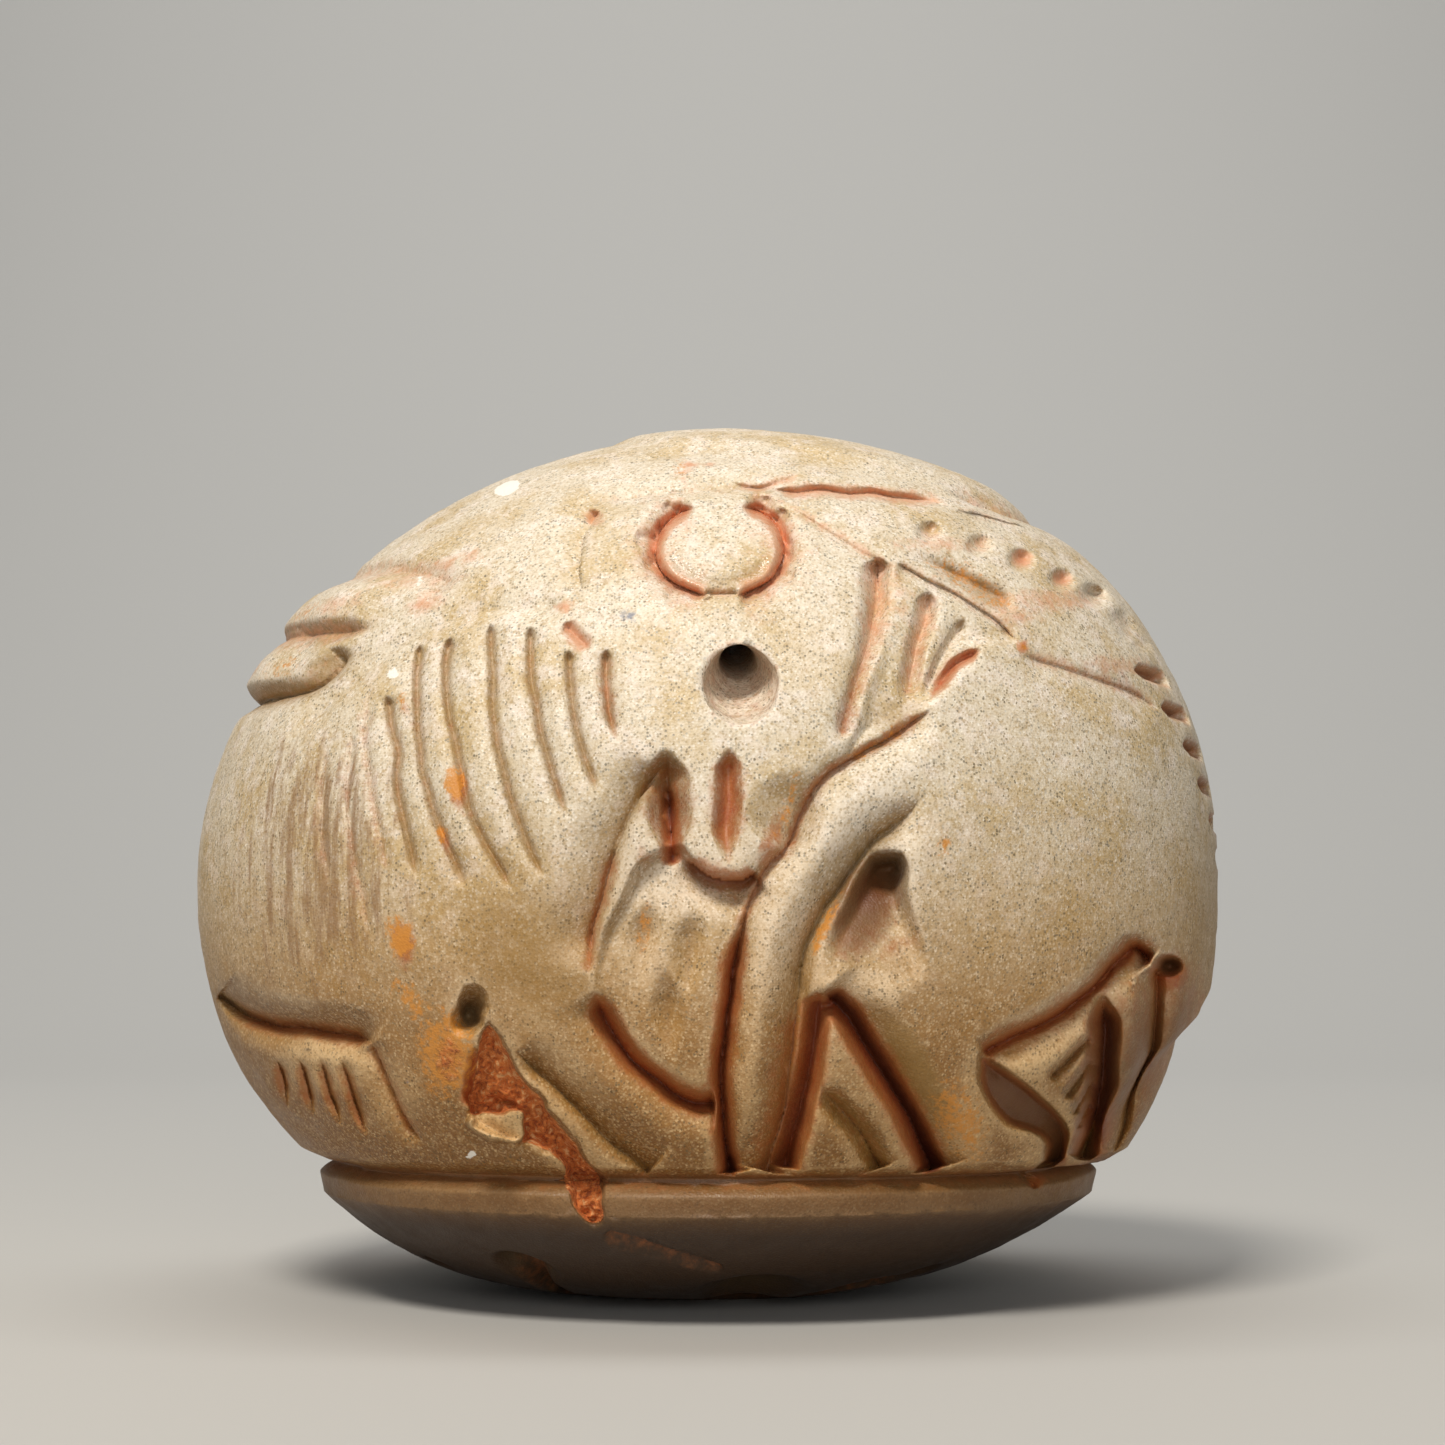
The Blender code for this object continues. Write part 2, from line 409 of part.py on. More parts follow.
def carve_left_end(ends):
    """Two rolls wrap the left end. The places are degrees round the bead from -X, towards the front."""
    def around(path):
        return [(DEGREE * degrees, v) for degrees, v in path]
    upper_roll = around([(-70, 62.6), (-40, 64.6), (0, 65.5), (25, 64.8), (46, 63.4)])
    ends.cut(upper_roll, 3.0, -1.3, fade=(4.0, 4.5), shape=ROUND)
    lower_roll = around([(-70, 57.5), (-35, 59.3), (0, 60.0), (15, 59.5), (30, 58.8)])
    ends.cut(lower_roll, 2.9, -1.0, fade=(4.0, 3.0), shape=ROUND)
    between_rolls = around([(-60, 60.5), (-30, 62.3), (5, 62.9), (22, 62.2), (44, 61.2)])
    ends.cut(between_rolls, 1.2, 1.1, fade=(3.0, 3.0))
    under_roll = around([(-70, 54.7), (-35, 56.4), (0, 57.1), (18, 56.5), (32, 56.4), (36, 58.4), (34, 60.4)])
    ends.cut(under_roll, 1.3, 1.4, right=(0.6, 3.0), fade=(4.0, 2.0))
    over_roll = around([(-60, 66.3), (-10, 68.6), (20, 68.4), (40, 67.2), (50, 65.4), (50, 63.0)])
    ends.cut(over_roll, 1.2, 0.7, fade=(3.0, 2.5))


def carve_right_end(ends):
    """Notches step down the spine at the right end. u is degrees from +X, towards the front."""
    for notch in range(8):
        middle = DEGREE * (24.0 - 3.4 * notch)
        height = 58.2 - 3.3 * notch
        ends.cut([(middle - 1.7, height), (middle + 1.7, height)], 0.8, 1.7, fade=(0.4, 1.0))
    for scallop in range(6):
        ends.pit(DEGREE * (10.0 - 2.0 * scallop), 73.5 - 2.9 * scallop, 1.4, 1.3, 1.2)
    ends.cut([(5.0, 27.0), (2.0, 27.6), (-4.0, 29.0)], 1.4, 1.0, fade=(3.5, 3.0))
    set_back = [(10.0, 21.0), (7.0, 25.5), (2.0, 28.2), (-6.0, 29.5), (-10.0, 24.0), (-8.0, 10.0),
                (11.0, 10.0)]
    ends.sink(set_back, 2.5, 0.0, 3.6)


def carve_back(back):
    """The back is plainer: spine, ribs, a folded hind leg and a foreleg over the ground line."""
    spine = [(-36.0, 52.0), (-28.0, 61.0), (-14.0, 67.5), (2.0, 69.0), (18.0, 66.5), (32.0, 59.0)]
    back.cut(spine, 0.8, 1.0, right=(0.7, 4.0), fade=(3.0, 3.0))
    for notch in range(9):
        share = (notch + 1) / 10
        u = -30.0 + 56.0 * share
        v = 63.5 + 24.0 * share * (1 - share)
        back.cut([(u, v + 1.0), (u + 0.5, v + 3.2)], 0.6, 0.8, fade=(0.5, 0.8))
    haunch = [(-31.0, 17.0), (-30.0, 30.0), (-22.0, 41.0), (-9.0, 44.5), (2.0, 38.5), (6.5, 27.0),
              (5.0, 15.5)]
    back.cut(haunch, 1.0, 1.5, right=(1.0, 5.0), left=(0.8, 4.0), fade=(3.0, 0.5))
    shank = [(-25.0, 20.5), (-15.0, 24.5), (-4.0, 23.0), (3.0, 17.0)]
    back.cut(shank, 0.9, 1.3, right=(0.8, 3.5), fade=(2.5, 0.5))
    foreleg = [(28.0, 44.0), (22.0, 36.0), (18.5, 26.0), (19.0, 15.5)]
    back.cut(foreleg, 0.9, 1.4, right=(0.8, 4.0), left=(0.8, 4.0), fade=(3.0, 0.4))
    forearm = [(33.0, 33.0), (28.0, 26.0), (26.5, 16.0)]
    back.cut(forearm, 0.8, 1.1, left=(0.7, 3.0), fade=(2.5, 0.4))
    for rib in range(5):
        top = (4.0 + 4.6 * rib, 62.0 - 0.9 * rib)
        foot = (8.5 + 3.4 * rib, 42.0 + 1.2 * rib)
        back.cut([top, (top[0] + 1.0, 52.0), foot], 0.75, 0.8, fade=(2.0, 4.0))
    for toe in range(3):
        back.cut([(8.8 + 2.4 * toe, 20.0), (9.4 + 2.4 * toe, 15.2)], 0.6, 0.8, fade=(1.0, 0.5))


def carve_crown(top):
    """A smooth dome stands a little proud on top."""
    dome = [(-3.0, -21.0), (10.0, -23.0), (23.0, -19.0), (31.5, -8.0), (33.0, 8.0), (24.0, 21.0),
            (8.0, 27.0), (-8.0, 23.0), (-14.0, 10.0), (-10.0, -8.0)]
    top.sink(dome, -0.6, -0.6, 3.0)
    dome_edge = [(22.0, -20.0), (29.0, -13.0), (33.0, -3.0), (33.0, 8.0), (26.0, 20.0)]
    top.cut(dome_edge, 1.0, 0.7, right=(0.9, 5.0), fade=(4.0, 4.0))


def engrave_seal(seal):
    """The seal face: two horned beasts in drilled pits and strokes, head to tail round a bare middle."""
    for turn in (1, -1):
        def cut(path, width, depth, fade=(1.0, 1.0)):
            seal.cut([(turn * u, turn * v) for u, v in path], width, depth, fade=fade, shape=GOUGE)
        cut([(-14.0, -13.0), (-4.0, -14.5), (8.0, -13.0)], 2.6, 2.4)
        cut([(-13.0, -15.0), (-14.8, -19.0), (-16.0, -23.0)], 1.3, 1.6)
        cut([(7.5, -14.0), (14.0, -17.0), (18.0, -14.5)], 1.5, 2.0)
        cut([(17.0, -12.5), (14.0, -8.0), (18.0, -3.0), (23.0, -4.0)], 0.9, 1.3)
        cut([(-15.0, -12.0), (-20.0, -9.0), (-21.0, -4.0)], 1.0, 1.3)
        seal.pit(turn * -16.0, turn * -23.0, 3.4, 3.4, 2.8)
        seal.pit(turn * 4.0, turn * -21.0, 5.8, 5.6, 2.6)
        seal.pit(turn * 19.5, turn * -15.0, 2.6, 2.4, 2.4)
        seal.pit(turn * -25.0, turn * -12.0, 1.8, 1.8, 1.6)
        seal.pit(turn * 26.0, turn * 4.0, 1.8, 1.8, 1.6)
        cut([(-9.0, -32.0), (-6.0, -31.5), (-2.6, -30.0), (1.6, -27.5)], 0.8, 0.9)


def carve(points, normals):
    """Move the points of the uncarved bead to the carved surface."""
    moved = points.copy()

    def press(side, toward, facing, weight):
        depth = side.relief * STEP * weight / np.clip(facing, LEAST_FACING, 1.0)
        moved[:] += toward * depth[:, None]

    eye = np.array((EYE_SIDE * STEP, -EYE_DISTANCE * STEP, EYE_HEIGHT * STEP_UP))
    ahead = np.array((0.0, math.cos(EYE_TILT), math.sin(EYE_TILT)))
    above = np.array((0.0, -math.sin(EYE_TILT), math.cos(EYE_TILT)))
    sight = points - eye
    reach = sight @ ahead
    across = EYE_DISTANCE * sight[:, 0] / reach - ORIGIN_SIDE
    upward = EYE_DISTANCE * (sight @ above) / reach * STEP / STEP_UP - ORIGIN_UP
    toward = -sight / np.linalg.norm(sight, axis=1)[:, None]
    facing = np.sum(normals * toward, axis=1)
    over_ground = ease(GROUND_LINE - 0.1 * MM, GROUND_LINE + 0.3 * MM, points[:, 2])
    front = Side(across, upward)
    for carve_feature in (carve_head, carve_beard, carve_right_limb, carve_hollow, carve_haunch, carve_mane,
                          carve_fleece, carve_left_limb):
        carve_feature(front)
    press(front, toward, facing, ease(*FRONT_FACING, facing) * over_ground)
    damage = Side(across, upward)
    break_front(damage)
    press(damage, toward, facing, ease(*DAMAGE_FACING, facing))

    flank = points * (1.0, 1.0, 0.0)
    flank /= np.linalg.norm(flank, axis=1)[:, None] + 1e-9
    facing = np.sum(normals * flank, axis=1)
    for end, carve_end in ((-1.0, carve_left_end), (1.0, carve_right_end)):
        degrees = np.degrees(np.arctan2(-points[:, 1], end * points[:, 0]))
        ends = Side(DEGREE * degrees, points[:, 2] / STEP_UP)
        carve_end(ends)
        press(ends, flank, facing, ease(*END_FACING, facing) * over_ground)

    for direction, carve_side in (((0.0, 1.0, 0.0), carve_back), ((0.0, 0.0, 1.0), carve_crown),
                                  ((0.0, 0.0, -1.0), engrave_seal)):
        toward = np.array(direction)
        facing = normals @ toward
        if toward[1]:
            side = Side(-points[:, 0] / STEP, points[:, 2] / STEP_UP)
            weight = ease(*BACK_FACING, facing) * over_ground
        else:
            side = Side(points[:, 0] / STEP, points[:, 1] / STEP_ACROSS)
            weight = ease(*LEVEL_FACING, facing)
        carve_side(side)
        press(side, toward, facing, weight)

    from_line = np.abs(points[:, 2] - GROUND_LINE) / GROUND_CUT
    ground_cut = GROUND_CUT_DEPTH * np.clip(1 - from_line, 0.0, 1.0) ** 1.4
    moved -= flank * ground_cut[:, None]
    return moved


def stone_material():
    """Fine-grained tan stone, rubbed smooth."""
    material = bpy.data.materials.new("tan_stone")
    material.use_nodes = True
    shader = material.node_tree.nodes["Principled BSDF"]
    shader.inputs["Base Color"].default_value = STONE_COLOUR
    shader.inputs["Roughness"].default_value = STONE_ROUGHNESS
    shader.inputs["Metallic"].default_value = 0.0
    return material


def make_bead(collection):
    """A sheet of rows and turns is closed to a ball, drawn out to the pebble, carved and then thinned."""
    mesh = bpy.data.meshes.new("amulet_stone")
    sheet = bmesh.new()
    bmesh.ops.create_grid(sheet, x_segments=TURNS, y_segments=ROWS, size=1.0)
    for vertex in sheet.verts:
        longitude, latitude = math.pi * vertex.co.x, math.pi / 2 * vertex.co.y
        ring = math.cos(latitude)
        vertex.co = (ring * math.cos(longitude), ring * math.sin(longitude), math.sin(latitude))
    bmesh.ops.remove_doubles(sheet, verts=sheet.verts, dist=WELD)
    sheet.to_mesh(mesh)
    sheet.free()
    points = np.empty(len(mesh.vertices) * 3)
    mesh.vertices.foreach_get("co", points)
    points = points.reshape(-1, 3)
    turn = np.arctan2(points[:, 1], points[:, 0])
    turn -= FRONT_CROWDING * np.cos(turn)
    rise = 0.5 + np.arcsin(np.clip(points[:, 2], -1.0, 1.0)) / math.pi
    points = pebble(turn, rise)
    mesh.vertices.foreach_set("co", points.ravel())
    mesh.update()
    normals = np.empty(len(mesh.vertices) * 3)
    mesh.vertices.foreach_get("normal", normals)
    points = carve(points, normals.reshape(-1, 3))
    mesh.vertices.foreach_set("co", points.ravel())
    mesh.update()
    mesh.materials.append(stone_material())
    mesh.shade_smooth()
    bead = bpy.data.objects.new("amulet_stone", mesh)
    collection.objects.link(bead)
    thin = bead.modifiers.new("thin", "DECIMATE")
    thin.use_collapse_triangulate = True
    thin.ratio = KEPT_TRIANGLES / (2 * TURNS * (ROWS - 1))
    return bead


def make_cutter(name, mesh_maker, collection, location=(0, 0, 0), rotation=(0, 0, 0)):
    form = bmesh.new()
    mesh_maker(form)
    mesh = bpy.data.meshes.new(name)
    form.to_mesh(mesh)
    form.free()
    cutter = bpy.data.objects.new(name, mesh)
    cutter.location = location
    cutter.rotation_euler = rotation
    cutter.hide_render = True
    cutter.display_type = "WIRE"
    collection.objects.link(cutter)
    return cutter


def cut_away(bead, cutter):
    cut = bead.modifiers.new(cutter.name, "BOOLEAN")
    cut.operation = "DIFFERENCE"
    cut.solver = "EXACT"
    cut.object = cutter


def crown_normal(point):
    """The way out of the crown at a point over its middle, as degrees up from level."""
    return math.atan2((point[2] - WAIST) / (HEIGHT - WAIST) ** 2, abs(point[1]) / (DEPTH / 2) ** 2)


def drill_and_shave(bead, collection):
    """The bore runs up from the brow to the back and opens to a cone at each end. The foot is rubbed flat."""
    def drill(form):
        thin, wide, mouth = BORE_DIAMETER / 2, STAGE_DIAMETER / 2, length / 2
        outside = mouth + STAGE_DEPTH
        profile = [(0, -outside), (wide, -outside), (wide, -mouth), (thin, STAGE_DEPTH - mouth)]
        profile += [(thin, mouth - STAGE_DEPTH), (wide, mouth), (wide, outside), (0, outside)]
        line = [form.verts.new((radius, 0, height)) for radius, height in profile]
        edges = [form.edges.new(ends) for ends in zip(line, line[1:])]
        bmesh.ops.spin(form, geom=line + edges, cent=(0, 0, 0), axis=(0, 0, 1), angle=2 * math.pi,
                       steps=BORE_SIDES)
        bmesh.ops.remove_doubles(form, verts=form.verts, dist=WELD)
        bmesh.ops.recalc_face_normals(form, faces=form.faces)

    def dish(form):
        floor = DISH_FLOOR * STAGE_DIAMETER / 2
        flare = (MOUTH_DIAMETER / 2 - floor) / MOUTH_DEPTH
        tall = MOUTH_DEPTH + STAGE_DEPTH / 2
        bmesh.ops.create_cone(form, cap_ends=True, segments=MOUTH_SIDES, radius1=floor,
                              radius2=floor + flare * tall, depth=tall)
        bmesh.ops.translate(form, vec=(0, 0, tall / 2 - MOUTH_DEPTH), verts=form.verts)

    def slab(form):
        bmesh.ops.create_cube(form, size=1.0)
        bmesh.ops.scale(form, vec=(LENGTH, DEPTH, WAIST), verts=form.verts)

    slope = math.radians(BORE_RISE)
    swing = math.radians(BORE_SWING)
    level = math.cos(slope)
    along = np.array((-math.sin(swing) * level, math.cos(swing) * level, math.sin(slope)))
    crown = np.array((DEPTH / 2, HEIGHT - WAIST))
    above_waist = BORE_HEIGHT - WAIST
    before_waist = crown[0] * math.sqrt(1 - (above_waist / crown[1]) ** 2)
    near_mouth = np.array((BORE_SIDE, -before_waist, BORE_HEIGHT))
    place = np.array((near_mouth[1], above_waist)) / crown
    heading = along[1:] / crown
    length = -2 * (place @ heading) / (heading @ heading)
    far_mouth = near_mouth + length * along
    quarter = math.pi / 2
    aim = (slope - quarter, 0, swing)
    middle = near_mouth + length / 2 * along
    cut_away(bead, make_cutter("bore", drill, collection, middle, aim))
    for name, mouth, side in (("near_mouth", near_mouth, 1), ("far_mouth", far_mouth, -1)):
        tilt = side * (quarter - crown_normal(mouth))
        cut_away(bead, make_cutter(name, dish, collection, mouth, (tilt, 0, 0)))
    cut_away(bead, make_cutter("foot", slab, collection, (0, 0, -WAIST / 2)))


def main():
    for old in list(bpy.data.objects):
        bpy.data.objects.remove(old, do_unlink=True)
    parts = bpy.data.collections.new("intaglio_bead_amulet")
    cutters = bpy.data.collections.new("cutters")
    for collection in (parts, cutters):
        bpy.context.scene.collection.children.link(collection)
    bead = make_bead(parts)
    drill_and_shave(bead, cutters)


main()
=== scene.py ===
"""The looks of a pebble-shaped stone bead, carved all round as a crouching animal over an engraved seal.

Metres, +Z up, and the head looks out towards -Y, as in the CAD. The carving repeats the CAD's strokes on a
finer mesh, with the wear, the stain in the cuts and the grain of the stone.
"""

import math

import bmesh
import bpy
import numpy as np
from mathutils import Euler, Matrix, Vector


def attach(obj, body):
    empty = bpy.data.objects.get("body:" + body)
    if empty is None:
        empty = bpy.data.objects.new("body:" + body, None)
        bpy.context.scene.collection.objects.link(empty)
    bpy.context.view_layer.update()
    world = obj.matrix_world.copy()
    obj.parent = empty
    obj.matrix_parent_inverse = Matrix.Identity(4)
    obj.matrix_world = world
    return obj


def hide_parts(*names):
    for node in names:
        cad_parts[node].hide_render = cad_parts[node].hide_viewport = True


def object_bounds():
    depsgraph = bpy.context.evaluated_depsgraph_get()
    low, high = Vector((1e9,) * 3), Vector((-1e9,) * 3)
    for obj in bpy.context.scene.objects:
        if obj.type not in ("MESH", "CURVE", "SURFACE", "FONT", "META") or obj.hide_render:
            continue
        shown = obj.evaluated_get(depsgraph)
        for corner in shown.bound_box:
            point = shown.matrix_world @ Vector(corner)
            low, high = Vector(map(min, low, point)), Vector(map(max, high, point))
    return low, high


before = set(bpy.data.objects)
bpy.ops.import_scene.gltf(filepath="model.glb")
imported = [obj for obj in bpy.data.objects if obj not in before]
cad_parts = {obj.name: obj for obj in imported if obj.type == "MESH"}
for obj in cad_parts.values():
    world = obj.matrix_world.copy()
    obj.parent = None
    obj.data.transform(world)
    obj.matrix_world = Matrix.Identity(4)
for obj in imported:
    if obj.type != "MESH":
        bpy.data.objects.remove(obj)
cad_low, cad_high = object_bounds()


# The pebble
# The bead is one pebble of fine-grained tan stone, ground to an even ovoid about 40 mm long. A base was left
# under it, edged by a narrow rim, and its domed underside is the seal face.

MM = 0.001
LENGTH = 40.2 * MM
DEPTH = 35.0 * MM
HEIGHT = 33.6 * MM
WAIST = 16.2 * MM
BELLY = 16.2 * MM
GROUND_LINE = 5.1 * MM
RIM_HEIGHT = 1.2 * MM
RIM_LENGTH = 30.6 * MM
RIM_DEPTH = 28.6 * MM
RIM_LIP = 0.25 * MM
FOOT_SHAVE = 0.12 * MM

# Roundness at the left and right ends: 2 is an ellipse, less is leaner and more is boxier
CROWN_LEFT, CROWN_RIGHT = 1.88, 2.22
BELLY_LEFT, BELLY_RIGHT = 2.2, 2.45
SEAL_LEFT, SEAL_RIGHT = 3.5, 2.8

# The first mesh is fine enough for the knife cuts, and is then thinned where it is plain
TURNS, ROWS = ((1500, 800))
FRONT_CROWDING = 0.45
SEAL_ROWS, RIM_ROWS = 0.13, 0.06
LIP_START, LIP_SPAN = 0.15, 0.7
WELD = 1e-6
KEPT_TRIANGLES = 188000


def between(left, right, cosine):
    """A value that goes from the left end's to the right end's."""
    return (right + left) / 2 + (right - left) / 2 * cosine


def pebble(turn, rise):
    """The uncarved bead. turn is the angle round it, rise goes from 0 underneath to 1 on top."""
    cosine, sine = np.cos(turn), np.sin(turn)
    crown = between(CROWN_LEFT, CROWN_RIGHT, cosine)
    belly = between(BELLY_LEFT, BELLY_RIGHT, cosine)
    seal = between(SEAL_LEFT, SEAL_RIGHT, cosine)
    start = -np.arcsin(((WAIST - GROUND_LINE) / BELLY) ** (belly / 2))
    climb = np.clip((rise - SEAL_ROWS - RIM_ROWS) / (1 - SEAL_ROWS - RIM_ROWS), 0.0, 1.0)
    latitude = start + climb * (math.pi / 2 - start)
    power = np.where(latitude > 0, 2 / crown, 2 / belly)
    reach = np.where(latitude > 0, HEIGHT - WAIST, BELLY)
    girth = np.cos(latitude).clip(0.0) ** power
    body_z = WAIST + np.sign(latitude) * reach * np.abs(np.sin(latitude)) ** power
    up_rim = np.clip((rise - SEAL_ROWS) / RIM_ROWS, 0.0, 1.0)
    across_seal = np.clip(rise / SEAL_ROWS, 0.0, 1.0)
    arris = GROUND_LINE - RIM_HEIGHT
    lip = RIM_LIP * np.sin(math.pi * (LIP_START + LIP_SPAN * up_rim))
    seal_z = -FOOT_SHAVE + (arris + FOOT_SHAVE) * across_seal ** seal
    base_z = np.where(rise < SEAL_ROWS, seal_z, arris + RIM_HEIGHT * up_rim)
    base_length = across_seal * (RIM_LENGTH / 2 - RIM_LIP) + lip * up_rim
    base_depth = across_seal * (RIM_DEPTH / 2 - RIM_LIP) + lip * up_rim
    in_body = rise > SEAL_ROWS + RIM_ROWS
    half_length = np.where(in_body, girth * LENGTH / 2, base_length)
    half_depth = np.where(in_body, girth * DEPTH / 2, base_depth)
    return np.column_stack((half_length * cosine, half_depth * sine, np.where(in_body, body_z, base_z)))


# The carver's strokes
# Each cut was made by hand with an abrasive-fed point or wheel, so it has a soft upper edge, one side often
# sloped more than the other, and red iron-stained dirt that has stayed in it.

STEPS_ALONG, STEPS_ACROSS, STEPS_UP = 100.5, 87.5, 84.0
STEP = LENGTH / STEPS_ALONG
STEP_ACROSS = DEPTH / STEPS_ACROSS
STEP_UP = HEIGHT / STEPS_UP
KNIFE, GOUGE, ROUND = range(3)

# A worn cut is wider than its tool, thins to a share of its width at the ends, and is stained past its edge
EDGE_WEAR, THIN_END = 1.3, 0.4
STAIN_SPREAD, STAIN_FALL = 1.45, 0.8
KNIFE_BOW = 1.4
LATTICE = 32
# Some of these layers carry painted light and shade as well as real stain: the pale rubbed patches are partly
# wear and partly painted light on faces that catch the light, the olive and umber browns are partly dirt and
# partly painted shade in hollows and on slopes turned from the light, and one chalk spot is a painted
# highlight.
STAINS = ("wear_and_painted_light", "rust", "umber", "olive", "ochre", "streak", "crust", "chalk_and_highlight", "iron", "gloss")


def ease(low, high, value):
    """0 below low, 1 above high and a soft rise between."""
    share = np.clip((value - low) / (high - low), 0.0, 1.0)
    return share * share * (3.0 - 2.0 * share)


def smooth(points, closed=False, pieces=6):
    """A smooth line through a few points."""
    given = np.array(points, dtype=float)
    if len(given) == 2 and not closed:
        return given
    if closed:
        ring = np.vstack((given[-1], given, given[0], given[1]))
    else:
        ring = np.vstack((2 * given[0] - given[1], given, 2 * given[-1] - given[-2]))
    line = []
    for before, start, end, after in zip(ring, ring[1:], ring[2:], ring[3:]):
        for step in range(pieces):
            t = step / pieces
            bend = 2 * before - 5 * start + 4 * end - after
            sway = 3 * (start - end) + after - before
            line.append(start + 0.5 * t * (end - before + t * (bend + t * sway)))
    line.append(ring[-2])
    return np.array(line)


def oval(u, v, across, high, start, end):
    """Points on an oval from one angle to another, in degrees anticlockwise from the right."""
    turns = np.radians(np.linspace(start, end, 9))
    return np.column_stack((u + across * np.cos(turns), v + high * np.sin(turns)))


def grit(points, size, seed):
    """Smooth random values from -1 to 1 that change over about this size."""
    lattice = np.random.default_rng(seed).uniform(-1, 1, (LATTICE, LATTICE, LATTICE)).astype(np.float32)
    place = points / size
    cell = np.floor(place).astype(np.int32)
    part = (place - cell).astype(np.float32)
    part = part * part * (3 - 2 * part)
    total = np.zeros(len(points), dtype=np.float32)
    for corner in np.ndindex(2, 2, 2):
        share = np.prod(np.where(corner, part, 1 - part), axis=1)
        at = (cell + corner) % LATTICE
        total += share * lattice[at[:, 0], at[:, 1], at[:, 2]]
    return total


class Side:
    """One side of the bead as the carver sees it: u to the right and v up, in steps of 0.4 mm."""

    def __init__(self, u, v):
        self.u = u
        self.v = v
        self.relief = np.zeros_like(u)
        self.stain = {name: np.zeros_like(u) for name in STAINS}

    def measure(self, line, reach):
        """Distance to a line, the side of it and the way along it, for the points near it."""
        low, high = line.min(axis=0) - reach, line.max(axis=0) + reach
        inside_u = (self.u > low[0]) & (self.u < high[0])
        near = np.nonzero(inside_u & (self.v > low[1]) & (self.v < high[1]))[0]
        points = np.column_stack((self.u[near], self.v[near]))
        nearest = np.full(len(near), np.inf)
        hand = np.zeros(len(near))
        way = np.zeros(len(near))
        gone = 0.0
        for start, end in zip(line, line[1:]):
            edge = end - start
            length = np.hypot(*edge)
            offset = points - start
            share = np.clip(offset @ edge / length ** 2, 0.0, 1.0)
            gap = np.hypot(*(offset - share[:, None] * edge).T)
            closer = gap < nearest
            nearest[closer] = gap[closer]
            hand[closer] = np.sign(edge[0] * offset[:, 1] - edge[1] * offset[:, 0])[closer]
            way[closer] = (gone + share * length)[closer]
            gone += length
        return near, nearest, hand, way, gone

    def tint(self, near, name, amount):
        self.stain[name][near] = np.maximum(self.stain[name][near], amount)

    def cut(self, path, width, depth, left=(0, 1), right=(0, 1), fade=(1.5, 1.5), shape=KNIFE,
            spread=STAIN_SPREAD, **stains):
        """A groove of this half-width. left and right are the drop and run of the slopes down to it."""
        line = smooth(path)
        reach = max(EDGE_WEAR * width * max(spread, 1.0), left[1], right[1])
        near, gap, hand, way, gone = self.measure(line, reach)
        along = ease(-0.01, fade[0], way) * ease(-0.01, fade[1], gone - way)
        thinned = EDGE_WEAR * width * (THIN_END + (1 - THIN_END) * along)
        share = np.clip(gap / thinned, 0.0, 1.0)
        groove = depth * ((1 - share) ** KNIFE_BOW, (1 - share ** 2) ** 2, 1 - share ** 2)[shape]
        for (drop, run), sign in ((left, 1), (right, -1)):
            slope = np.clip(1 - gap / run, 0.0, 1.0) ** 2
            groove += np.where(hand * sign > 0, drop * slope, 0.0)
        self.relief[near] -= groove * along
        wash = np.clip(1 - gap / (spread * thinned), 0.0, 1.0) ** STAIN_FALL * np.sqrt(along)
        for name, amount in stains.items():
            self.tint(near, name, amount * wash)

    def within(self, outline):
        """The points in a closed outline, how far each is from its edge, and its height from foot to top."""
        line = smooth(outline, closed=True)
        near, gap, _, _, _ = self.measure(line, 0.1)
        u, v = self.u[near], self.v[near]
        inside = np.zeros(len(near), dtype=bool)
        for (u0, v0), (u1, v1) in zip(line, line[1:]):
            crosses = (v0 > v) != (v1 > v)
            if v0 != v1:
                inside ^= crosses & (u < u0 + (v - v0) * (u1 - u0) / (v1 - v0))
        low, high = line[:, 1].min(), line[:, 1].max()
        return near, np.where(inside, gap, 0.0), np.clip((v - low) / (high - low), 0.0, 1.0)

    def sink(self, outline, top, bottom, wall, bend=1.0):
        """A sunk field in a closed outline. Its depth goes from top to bottom, later with more bend."""
        near, gap, climb = self.within(outline)
        depth = bottom + (top - bottom) * climb ** bend
        self.relief[near] -= depth * ease(0.0, wall, gap)

    def pit(self, u, v, across, high, depth):
        """A round or oval pit. A negative depth is a bump."""
        square = ((self.u - u) / across) ** 2 + ((self.v - v) / high) ** 2
        self.relief -= depth * np.clip(1 - square, 0.0, 1.0) ** 2

    def daub(self, name, *spots):
        """Soft ovals of stain, painted shade and painted light, by layer: middle, half-width, half-height,
        amount and a lean of the top to the right.
        """
        for u, v, across, high, amount, *lean in spots:
            shifted = self.u - u - sum(lean) * (self.v - v)
            square = (shifted / across) ** 2 + ((self.v - v) / high) ** 2
            near = np.nonzero(square < 1)[0]
            self.tint(near, name, amount * (1 - square[near]))
